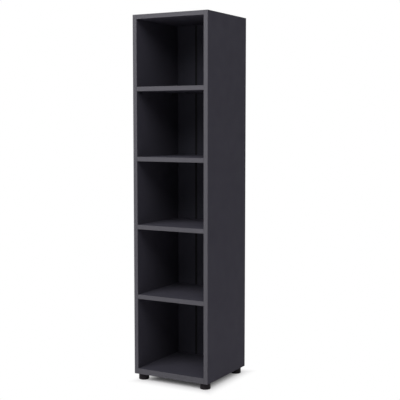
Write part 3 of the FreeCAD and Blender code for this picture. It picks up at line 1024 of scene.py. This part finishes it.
@dataclass(frozen=True)
class PanScrew:
    """Wood screw with a low pan head and a cross recess.

    Attributes:
        towards: Direction that the head faces.
        head_height: Height of the head above its seat.
        shank: Radius over the thread.
        pitch: Advance of one turn.
        point: Length of the point.
        recess: Recess in the head.
        tip: Share of the shank at the tip.
        start: Share of the shank where the point ends.
        groove: Share of the shank that the thread is deep.
        neck: Share of the shank under the head.
        seat: Share of the head at its seat.
        rim: Share of the head's height at which it is widest.
        crown: Share of the head at the top of its dome.
        dome: Shares of the head's height that have a ring.
    """

    towards: Vector
    head_height: float
    shank: float
    pitch: float
    point: float = 3 * MM
    recess: CrossRecess = CrossRecess(span=3.4 * MM, width=0.9 * MM, depth=0.7 * MM)
    tip: float = 0.06
    start: float = 0.7
    groove: float = 0.32
    neck: float = 0.85
    seat: float = 0.97
    rim: float = 0.12
    crown: float = 0.66
    dome: tuple[float, ...] = (0.3, 0.55, 0.75, 0.9, 1.0)

    def build(self, mesh: Mesh, box: Box) -> None:
        """Make one screw.

        Args:
            mesh: Mesh to add the screw to.
            box: Box of the screw.
        """
        whole = abs(box.size.dot(self.towards))
        length = whole - self.head_height
        head = box.size.x / 2
        loft = RingLoft(sides=28, corners=self.recess.corners())
        loft.ring(-length, self.tip * self.shank)
        loft.ring(self.point - length, self.start * self.shank)
        thread = Thread(self.shank, self.groove * self.shank, self.pitch, rows=6)
        thread.cut(loft, self.point - length, -self.pitch)
        loft.ring(-self.pitch / 2, self.neck * self.shank)
        loft.ring(0.0, self.neck * self.shank)
        loft.ring(0.0, self.seat * head)
        loft.ring(self.rim * self.head_height, head)
        for share in self.dome:
            slope = math.sqrt(1 - share ** 2)
            loft.ring(share * self.head_height, head * (self.crown + (1 - self.crown) * slope))
        self.recess.sink(loft, self.head_height)
        seat = box.middle + (whole / 2 - self.head_height) * self.towards
        loft.build(mesh, stand(seat, self.towards))


# Sub-assemblies


@dataclass
class SubAssembly:
    """Pieces that are built and dressed together.

    Attributes:
        finishes: Finishes that the pieces wear.
        pieces: New pieces and dressed CAD nodes, in the order in which they are finished.
    """

    finishes: Finishes
    pieces: list[Piece] = field(default_factory=list)

    def build(self) -> None:
        """Build and dress the sub-assembly."""
        raise NotImplementedError

    def wear(self, slot: Slot, *nodes: str) -> None:
        """Dress CAD nodes whose shape is right.

        Args:
            slot: Slot of the nodes.
            *nodes: Names of the nodes.
        """
        for node in nodes:
            piece = frame["nodes"][node]
            piece.material_slots[0].material = self.finishes.of(slot, node)
            self.pieces.append(piece)

    def remake(self, name: str, node: str, slot: Slot, make: Maker) -> None:
        """Make a finer piece that stands for a CAD node.

        Args:
            name: Name of the new piece.
            node: CAD node that it replaces.
            slot: Slot of the piece.
            make: Method that adds one solid of the node to a mesh, in the solid's box.
        """
        mesh = bmesh.new()
        for box in solids(node):
            make(mesh, box)
        bmesh.ops.remove_doubles(mesh, verts=mesh.verts, dist=WELD)
        bmesh.ops.recalc_face_normals(mesh, faces=mesh.faces)
        data = bpy.data.meshes.new(name)
        mesh.to_mesh(data)
        mesh.free()
        data.shade_smooth()
        data.set_sharp_from_angle(angle=CREASE)
        data.materials.append(self.finishes.of(slot, node))
        piece = bpy.data.objects.new(name, data)
        bpy.context.scene.collection.objects.link(piece)
        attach(piece, frame["nodes"][node]["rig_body"])
        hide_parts(node)
        self.pieces.append(piece)


@dataclass
class Carcass(SubAssembly):
    """Sides, fitted boards and their edge bands.

    Attributes:
        boards: CAD nodes of the boards.
        bands: CAD nodes of the bands.
    """

    boards: tuple[str, ...] = (
        "side_panel_left", "side_panel_right", "top_panel", "bottom_panel", "fixed_shelf",
    )
    bands: tuple[str, ...] = (
        "side_band_left", "side_band_right", "side_end_band_left", "side_end_band_right",
        "top_band", "bottom_band", "fixed_shelf_band",
    )

    def build(self) -> None:
        """Dress the boards and the bands."""
        self.wear(Slot.BOARD, *self.boards)
        self.wear(Slot.BAND, *self.bands)


@dataclass
class LooseShelf(SubAssembly):
    """Shelf that lies on four bent pins and slides out.

    Attributes:
        shelf: Which of the loose shelves it is.
        plate: Thickness of a pin's steel.
        bend: Outer radius of the pin's bend.
        corner: Radius of the plate's free corners.
        burr: Rounding of the plate's edges.
        sharp: Angle between two faces whose edge is rounded.
        peg: Radius of the pin's peg.
        peg_drop: Depth of the peg's axis under the shelf.
        chamfer: Chamfer of the peg's end.
    """

    shelf: Shelf = Shelf.UPPER
    plate: float = 1.6 * MM
    bend: float = 2.0 * MM
    corner: float = 2.2 * MM
    burr: float = 0.2 * MM
    sharp: float = math.radians(60)
    peg: float = 2.45 * MM
    peg_drop: float = 6 * MM
    chamfer: float = 0.6 * MM

    def build(self) -> None:
        """Dress the shelf and make its pins."""
        name = self.shelf.value
        self.wear(Slot.BOARD, name)
        self.wear(Slot.BAND, f"{name}_band")
        self.remake(f"bent_{name}_pins", f"{name}_pins", Slot.PIN, self._pin)

    def _pin(self, mesh: Mesh, box: Box) -> None:
        """Bend one pin out of plate and add its peg.

        Args:
            mesh: Mesh to add the pin to.
            box: Box of the pin.
        """
        inwards = 1 if box.on_left else -1
        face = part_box("side_panel_left")[1].x if box.on_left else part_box("side_panel_right")[0].x
        origin = Vector((face, box.middle.y, box.high.z))
        plate = self._plate(abs(box.end(Axis.X, box.on_left).x - face), box.size.z, box.size.y)
        plate.transform(Matrix.Translation(origin) @ Matrix.Diagonal((inwards, inwards, 1, 1)))
        holder = bpy.data.meshes.new("pin_plate")
        plate.to_mesh(holder)
        plate.free()
        mesh.from_mesh(holder)
        bpy.data.meshes.remove(holder)
        length = abs(box.end(Axis.X, not box.on_left).x - face)
        peg = RingLoft(sides=24)
        peg.ring(-self.plate / 2, self.peg)
        peg.ring(length - self.chamfer, self.peg)
        peg.ring(length, self.peg - self.chamfer)
        peg.build(mesh, stand(origin - Vector((0, 0, self.peg_drop)), Vector((-inwards, 0, 0))))

    def _plate(self, reach: float, drop: float, width: float) -> Mesh:
        """Bend the plate of one pin, with its flat leg along +X and its upright leg along -Z.

        Args:
            reach: Length of the flat leg.
            drop: Length of the upright leg.
            width: Width of the plate.

        Returns:
            A mesh of its own.
        """
        outline = [(0.0, -drop), *self._bend_arc(self.bend), (reach, 0.0), (reach, -self.plate)]
        outline += [*self._bend_arc(self.bend - self.plate)[::-1], (self.plate, -drop)]
        plate = bmesh.new()
        verts = [plate.verts.new((x, -width / 2, z)) for x, z in outline]
        strip = bmesh.ops.extrude_face_region(plate, geom=[plate.faces.new(verts)])
        moved = [item for item in strip["geom"] if isinstance(item, bmesh.types.BMVert)]
        bmesh.ops.translate(plate, verts=moved, vec=(0, width, 0))
        ends = [edge for edge in plate.edges if self._is_free_corner(edge, reach, drop, width)]
        self._round(plate, ends, self.corner, segments=4)
        sharp = [edge for edge in plate.edges if edge.calc_face_angle(0.0) > self.sharp]
        self._round(plate, sharp, self.burr, segments=2)
        return plate

    def _bend_arc(self, radius: float, steps: int = 5) -> list[Span]:
        """Points of the bend, from the upright leg to the flat one.

        Args:
            radius: Radius of the arc.
            steps: Chords in the arc.

        Returns:
            Reach and height of each point.
        """
        angles = [math.radians(180 - 90 * step / steps) for step in range(steps + 1)]
        return [(self.bend + radius * math.cos(a), radius * math.sin(a) - self.bend) for a in angles]

    @staticmethod
    def _round(mesh: Mesh, edges: list[bmesh.types.BMEdge], radius: float, segments: int) -> None:
        """Round edges of a mesh."""
        way = {"profile": 0.5, "affect": "EDGES", "offset_type": "OFFSET"}
        bmesh.ops.bevel(mesh, geom=edges, offset=radius, segments=segments, **way)

    @staticmethod
    def _is_free_corner(edge: bmesh.types.BMEdge, reach: float, drop: float, width: float) -> bool:
        """Tell whether an edge runs through the steel at a free corner of the plate.

        Args:
            edge: Edge of the plate.
            reach: Length of the flat leg.
            drop: Length of the upright leg.
            width: Width of the plate.

        Returns:
            True at the four corners that are rounded.
        """
        ends = [vert.co for vert in edge.verts]
        at_side = all(abs(abs(end.y) - width / 2) < WELD for end in ends)
        across = abs(ends[0].y - ends[1].y) < WELD
        at_tip = all(abs(end.x - reach) < WELD for end in ends)
        at_foot = all(abs(end.z + drop) < WELD for end in ends)
        return at_side and across and (at_tip or at_foot)


@dataclass
class Back(SubAssembly):
    """Three leaves, the two strips that join them and the screws that hold them.

    Attributes:
        leaves: CAD nodes of the leaves.
        strips: CAD nodes of the strips.
        screw: Screw that holds the leaves.
    """

    leaves: tuple[str, ...] = ("back_leaf_left", "back_leaf_middle", "back_leaf_right")
    strips: tuple[str, ...] = ("back_strip_left", "back_strip_right")
    screw: PanScrew = PanScrew(Axis.Y.unit(), head_height=1.0 * MM, shank=1.5 * MM, pitch=1.35 * MM)

    def build(self) -> None:
        """Dress the leaves and the strips and make the screws."""
        self.wear(Slot.LEAF, *self.leaves)
        self.wear(Slot.STRIP, *self.strips)
        self.remake("driven_back_screws", "back_screws", Slot.STEEL, self.screw.build)


@dataclass
class CornerFittings(SubAssembly):
    """Dowels, cam bolts, cams and caps of the fitted boards.

    Attributes:
        flutes: Flutes round a dowel.
        flute_depth: Depth of a flute.
        dowel_chamfer: Chamfer of a dowel's ends.
        bolt_thread: Thread of a cam bolt.
        bolt_lead: Length of the bolt's lead-in.
        bolt_tip: Share of the thread's radius at the bolt's tip.
        bolt_in_side: Length of the bolt in the side panel.
        bolt_edge: Rounding of the bolt's edges.
        flange: Thickness of the bolt's flange.
        neck: Radius of the bolt's neck.
        head: Length of the bolt's head.
        head_face: Share of the head where its flat face begins.
        cap_edge: Rounding of a cap's edges.
        cap_dish: Depth of the dish in a cap.
        cap_rim: Share of the cap where the dish begins.
        cap_floor: Share of the cap where the dish is full.
        cap_middle: Share of the cap where its last ring lies.
    """

    flutes: int = 16
    flute_depth: float = 0.3 * MM
    dowel_chamfer: float = 1.0 * MM
    bolt_thread: Thread = Thread(radius=2.45 * MM, depth=0.55 * MM, pitch=1.8 * MM)
    bolt_lead: float = 0.8 * MM
    bolt_tip: float = 0.6
    bolt_in_side: float = 11 * MM
    bolt_edge: float = 0.5 * MM
    flange: float = 3 * MM
    neck: float = 2.5 * MM
    head: float = 3 * MM
    head_face: float = 0.4
    cap_edge: float = 0.3 * MM
    cap_dish: float = 0.25 * MM
    cap_rim: float = 0.82
    cap_floor: float = 0.74
    cap_middle: float = 0.2

    def build(self) -> None:
        """Make the fittings and dress the cams."""
        self.remake("fluted_dowels", "dowels", Slot.DOWEL, self._dowel)
        self.remake("threaded_cam_bolts", "cam_bolts", Slot.STEEL, self._bolt)
        self.wear(Slot.CAM, "cam_locks")
        self.remake("dished_cam_caps", "cam_caps", Slot.CAP, self._cap)

    def _dowel(self, mesh: Mesh, box: Box) -> None:
        """Make one dowel with pressed flutes.

        Args:
            mesh: Mesh to add the dowel to.
            box: Box of the dowel.
        """
        radius = box.size.z / 2
        length = box.size.x

        def fluted(angle: float) -> float:
            """Radius at one angle."""
            return radius - self.flute_depth * (0.5 - 0.5 * math.cos(self.flutes * angle)) ** 2

        loft = RingLoft(sides=4 * self.flutes)
        loft.ring(0.0, radius - self.dowel_chamfer)
        for height in (self.dowel_chamfer, length - self.dowel_chamfer):
            loft.ring(height, fluted)
        loft.ring(length, radius - self.dowel_chamfer)
        loft.build(mesh, stand(box.end(Axis.X, far=False), Axis.X.unit()))

    def _bolt(self, mesh: Mesh, box: Box) -> None:
        """Make one cam bolt, its thread in the side and its head in the cam.

        Args:
            mesh: Mesh to add the bolt to.
            box: Box of the bolt.
        """
        length = box.size.x
        head = box.size.z / 2
        shoulder = self.bolt_in_side + self.flange
        loft = RingLoft(sides=28)
        loft.ring(0.0, self.bolt_tip * self.bolt_thread.radius)
        self.bolt_thread.cut(loft, self.bolt_lead, self.bolt_in_side)
        profile = [
            (self.bolt_in_side, self.bolt_thread.radius),
            (self.bolt_in_side, head),
            (shoulder, head),
            (shoulder, self.neck),
            (length - self.head, self.neck),
            (length - self.head, head),
            (length, head),
            (length, self.head_face * head),
        ]
        loft.rounded(profile, self.bolt_edge)
        inwards = Axis.X.unit() if box.on_left else -Axis.X.unit()
        loft.build(mesh, stand(box.end(Axis.X, not box.on_left), inwards))

    def _cap(self, mesh: Mesh, box: Box) -> None:
        """Make one cap, flush with its board and slightly dished.

        Args:
            mesh: Mesh to add the cap to.
            box: Box of the cap.
        """
        upwards = box.high.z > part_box("top_panel")[1].z - WELD
        radius = box.size.x / 2
        thick = box.size.z
        loft = RingLoft(sides=40)
        profile = [
            (-thick, radius - self.cap_edge),
            (-thick, radius),
            (0.0, radius),
            (0.0, self.cap_rim * radius),
            (-self.cap_dish, self.cap_floor * radius),
            (-self.cap_dish, self.cap_middle * radius),
        ]
        loft.rounded(profile, self.cap_edge)
        outwards = Axis.Z.unit() if upwards else -Axis.Z.unit()
        loft.build(mesh, stand(box.end(Axis.Z, upwards), outwards))


@dataclass
class LevellingFoot(SubAssembly):
    """One foot: collar, glide and threaded spindle.

    Attributes:
        corner: Corner that the foot stands under.
        rod: Thread of the spindle.
        thrust: Height of the head that turns in the glide.
        thrust_face: Share of that head where its flat face begins.
        thrust_edge: Rounding of that head's edges.
        chamfer: Chamfer of the spindle's upper end.
        key: Width of the hex socket.
        key_depth: Depth of the hex socket.
    """

    corner: Corner = Corner.FRONT_LEFT
    rod: Thread = Thread(radius=5 * MM, depth=0.92 * MM, pitch=1.5 * MM)
    thrust: float = 3 * MM
    thrust_face: float = 0.5
    thrust_edge: float = 0.4 * MM
    chamfer: float = 1 * MM
    key: float = 5 * MM
    key_depth: float = 5 * MM

    def build(self) -> None:
        """Dress the collar and the glide and make the spindle."""
        name = self.corner.value
        self.wear(Slot.FOOT, f"foot_collar_{name}", f"foot_glide_{name}")
        self.remake(f"threaded_spindle_{name}", f"foot_spindle_{name}", Slot.STEEL, self._spindle)

    def _spindle(self, mesh: Mesh, box: Box) -> None:
        """Make the spindle, from its head in the glide up to its socket.

        Args:
            mesh: Mesh to add the spindle to.
            box: Box of the spindle.
        """
        length = box.size.z
        head = box.size.x / 2
        loft = RingLoft(sides=36)
        profile = [
            (0.0, self.thrust_face * head),
            (0.0, head),
            (self.thrust, head),
            (self.thrust, self.rod.radius),
        ]
        loft.rounded(profile, self.thrust_edge)
        self.rod.cut(loft, self.thrust, length - self.chamfer)
        loft.ring(length, self.rod.radius - self.chamfer)
        loft.ring(length, hexagon(self.key))
        loft.ring(length - self.key_depth, hexagon(self.key))
        loft.build(mesh, Matrix.Translation(box.end(Axis.Z, far=False)))


@dataclass
class FootFixings(SubAssembly):
    """Captive nuts, collar screws and access caps of the four feet.

    Attributes:
        bore: Radius of a nut's bore.
        nut_chamfer: Chamfer of a nut's corners, and twice that of its bore.
        nut_corner: Share of the width across flats at which the chamfer begins.
        screw: Screw that holds a collar.
        flange: Thickness of an access cap's flange.
        flange_drop: Share of the flange that its dome rises.
        stem: Radius of the cap's stem.
        stem_face: Share of the stem where its flat face begins.
        dome: Share of the cap where its dome is full.
        dome_middle: Share of the cap where its last ring lies.
        cap_edge: Rounding of the cap's edges.
    """

    bore: float = 5.05 * MM
    nut_chamfer: float = 0.8 * MM
    nut_corner: float = 0.52
    screw: PanScrew = PanScrew(-Axis.Z.unit(), head_height=2 * MM, shank=1.75 * MM, pitch=1.6 * MM)
    flange: float = 0.8 * MM
    flange_drop: float = 0.6
    stem: float = 6.4 * MM
    stem_face: float = 0.6
    dome: float = 0.72
    dome_middle: float = 0.2
    cap_edge: float = 0.4 * MM

    def build(self) -> None:
        """Make the nuts, the screws and the caps."""
        self.remake("chamfered_foot_nuts", "foot_nuts", Slot.STEEL, self._nut)
        self.remake("driven_collar_screws", "collar_screws", Slot.STEEL, self.screw.build)
        self.remake("domed_access_caps", "access_caps", Slot.CAP, self._cap)

    def _nut(self, mesh: Mesh, box: Box) -> None:
        """Make one hexagon nut with chamfered corners.

        Args:
            mesh: Mesh to add the nut to.
            box: Box of the nut.
        """
        height = box.size.z
        flats = hexagon(box.size.y)
        corner = self.nut_corner * box.size.y
        mouth = self.nut_chamfer / 2

        def chamfered(angle: float) -> float:
            """Radius of the end face at one angle."""
            return min(flats(angle), corner)

        loft = RingLoft(sides=48, closed=True)
        loft.ring(0.0, self.bore + mouth)
        loft.ring(0.0, chamfered)
        loft.ring(self.nut_chamfer, flats)
        loft.ring(height - self.nut_chamfer, flats)
        loft.ring(height, chamfered)
        loft.ring(height, self.bore + mouth)
        loft.ring(height - mouth, self.bore)
        loft.ring(mouth, self.bore)
        loft.build(mesh, Matrix.Translation(box.end(Axis.Z, far=False)))

    def _cap(self, mesh: Mesh, box: Box) -> None:
        """Make one access cap with a low dome.

        Args:
            mesh: Mesh to add the cap to.
            box: Box of the cap.
        """
        radius = box.size.x / 2
        height = box.size.z
        loft = RingLoft(sides=40)
        profile = [
            (0.0, self.stem_face * self.stem),
            (0.0, self.stem),
            (height - self.flange, self.stem),
            (height - self.flange, radius),
            (height - self.flange_drop * self.flange, radius),
            (height, self.dome * radius),
            (height, self.dome_middle * radius),
        ]
        loft.rounded(profile, self.cap_edge)
        loft.build(mesh, Matrix.Translation(box.end(Axis.Z, far=False)))


# Studio


@dataclass(frozen=True)
class Lamp:
    """Soft rectangular lamp, aimed at the bookcase.

    Attributes:
        name: Name of the lamp.
        azimuth: Direction in degrees, 0 in front and positive to the right.
        elevation: Height above the aim point in degrees.
        level: Light at the aim point, where 1 shows a facing colour as written.
        distance: Metres from the aim point.
        width: Width of the lamp.
        height: Height of the lamp.
    """

    name: str
    azimuth: float
    elevation: float
    level: float
    distance: float = 4.2
    width: float = 2.4
    height: float = 2.4

    def build(self, aim: Vector) -> None:
        """Hang the lamp.

        Args:
            aim: Point that the lamp faces.
        """
        around = math.radians(self.azimuth)
        above = math.radians(self.elevation)
        level_out = Vector((math.sin(around), -math.cos(around), 0.0))
        back = math.cos(above) * level_out + math.sin(above) * Axis.Z.unit()
        data = bpy.data.lights.new(self.name, "AREA")
        data.shape = "RECTANGLE"
        data.size = self.width
        data.size_y = self.height
        data.energy = self.level * (math.pi * self.distance) ** 2
        lamp = bpy.data.objects.new(self.name, data)
        lamp.location = aim + self.distance * back
        lamp.rotation_euler = back.to_track_quat("Z", "Y").to_euler()
        lamp.visible_camera = False
        bpy.context.scene.collection.objects.link(lamp)


@dataclass
class Studio:
    """White floor and background with soft light.

    Attributes:
        lamps: Lamps around the bookcase.
        sky: Level of the even light from all around.
        floor_color: Colour of the floor near the bookcase.
        floor_roughness: Roughness of the floor.
        floor_sheen: Specular level of the floor.
        floor_cloud: Width of the clouds of shade on the floor.
        floor_drift: Shades of those clouds.
        floor_reach: Radius of the floor.
        side_fade: Distances out from a side between which the floor turns into plain background.
        front_fade: The same distances out from the front and the rear.
        drift: How far the fade, and the painted shade it leaves, is shifted to the right, away from the
            stronger lamp.
        least: Share of plain background in the deepest shadow, which paints that shadow lighter.
    """

    lamps: tuple[Lamp, ...] = (
        Lamp("left_softbox", azimuth=-22.0, elevation=37.0, level=0.47),
        Lamp("right_softbox", azimuth=31.0, elevation=44.0, level=0.40),
        Lamp("front_fill", azimuth=4.0, elevation=3.0, level=0.04, height=1.4),
        Lamp("rear_softbox", azimuth=196.0, elevation=32.0, level=0.42),
    )
    sky: float = 0.14
    floor_color: Color = (0.80, 0.77, 0.805)
    floor_roughness: float = 0.9
    floor_sheen: float = 0.1
    floor_cloud: float = 0.4
    floor_drift: Span = (0.995, 1.005)
    floor_reach: float = 9.0
    side_fade: Span = (-0.087, 0.042)
    front_fade: Span = (-0.074, 0.066)
    drift: float = 0.018
    least: float = 0.04

    def build(self) -> None:
        """Light the scene and lay the floor."""
        for lamp in self.lamps:
            lamp.build(Box(*CAD_BOX).middle)
        self._sky()
        self._floor()
        bpy.context.scene.view_settings.view_transform = "Standard"

    def _sky(self) -> None:
        """Light from all around, which the camera sees as plain white."""
        world = bpy.data.worlds.new("studio")
        world.use_nodes = True
        graph = NodeGraph(world.node_tree)
        even = graph.add("Background", {"Color": opaque(WHITE), "Strength": self.sky}).outputs[0]
        white = graph.add("Background", {"Color": opaque(WHITE)}).outputs[0]
        mixed = graph.add("MixShader", {0: graph.background_rays(), 1: even, 2: white}).outputs[0]
        graph.add("OutputWorld", {"Surface": mixed})
        bpy.context.scene.world = world

    def _floor(self) -> None:
        """Lay a round floor that keeps the shadow, with painted shade where it fades, and turns into plain
        background away from it.
        """
        mesh = bmesh.new()
        bmesh.ops.create_circle(mesh, cap_ends=True, segments=96, radius=self.floor_reach)
        data = bpy.data.meshes.new("floor")
        mesh.to_mesh(data)
        mesh.free()
        graph = Graph("floor")
        spot = graph.place()
        clouds = graph.noise(spot, self.floor_cloud, detail=3.0)
        graph.feed(
            Base_Color=graph.shades(clouds, self.floor_color, self.floor_drift),
            Roughness=self.floor_roughness,
            Specular_IOR_Level=self.floor_sheen,
        )
        plain = graph.add("Emission", {"Color": opaque(WHITE)}).outputs[0]
        share = graph.compute("MULTIPLY", self._fade(graph, spot), graph.background_rays())
        mixed = graph.add("MixShader", {0: share, 1: graph.shader.outputs[0], 2: plain}).outputs[0]
        graph.join(mixed, graph.output.inputs["Surface"])
        data.materials.append(graph.material)
        floor = bpy.data.objects.new("floor", data)
        bpy.context.scene.collection.objects.link(floor)

    def _fade(self, graph: Graph, spot: Socket) -> Socket:
        """Share of plain background on the floor, least under the bookcase and 1 away from it, so the grey
        lamp-lit floor near the bookcase is painted shade.

        Args:
            graph: Material of the floor.
            spot: Position on the floor.

        Returns:
            Socket from 0 to 1.
        """
        # The box-shaped fade paints shade round the bookcase and shifts it to the right
        middle = graph.vector("SUBTRACT", spot, (self.drift, 0.0, 0.0))
        past = graph.vector("SUBTRACT", graph.vector("ABSOLUTE", middle), CAD_BOX[1])
        split = graph.add("SeparateXYZ", {0: past})
        shares = [
            graph.spread(split.outputs[axis.value], fade, (self.least, 1.0), "SMOOTHSTEP")
            for axis, fade in ((Axis.X, self.side_fade), (Axis.Y, self.front_fade))
        ]
        return graph.compute("MAXIMUM", *shares)


@dataclass(frozen=True)
class PhotoCamera:
    """Camera at the photograph's viewing angle.

    Attributes:
        place: Where the camera stands.
        azimuth: Degrees to the right of the front.
        pitch: Degrees that it looks down.
        lens: Focal length in millimetres.
        sensor: Width of the sensor in millimetres.
    """

    place: tuple[float, float, float] = (2.3107, -3.9895, 1.3030)
    azimuth: float = 29.467
    pitch: float = 4.815
    lens: float = 81.46
    sensor: float = 36.0

    def build(self) -> None:
        """Set the camera up."""
        data = bpy.data.cameras.new("photo_camera")
        data.sensor_width = self.sensor
        data.lens = self.lens
        camera = bpy.data.objects.new("photo_camera", data)
        camera.location = self.place
        camera.rotation_euler = (math.radians(90 - self.pitch), 0.0, math.radians(self.azimuth))
        bpy.context.scene.collection.objects.link(camera)
        bpy.context.scene.camera = camera


def main() -> None:
    """Build the bookcase and its studio, and report each piece."""
    logging.basicConfig(level=logging.INFO, format="%(name)s: %(message)s")
    finishes = Finishes()
    assemblies: list[SubAssembly] = [Carcass(finishes)]
    assemblies += [LooseShelf(finishes, shelf=shelf) for shelf in Shelf]
    assemblies += [Back(finishes), CornerFittings(finishes)]
    assemblies += [LevellingFoot(finishes, corner=corner) for corner in Corner]
    assemblies.append(FootFixings(finishes))
    for assembly in assemblies:
        assembly.build()
        for piece in assembly.pieces:
            log.info("%s: %s, %d faces", type(assembly).__name__, piece.name, len(piece.data.polygons))
    Studio().build()
    PhotoCamera().build()


if __name__ == "__main__":
    main()
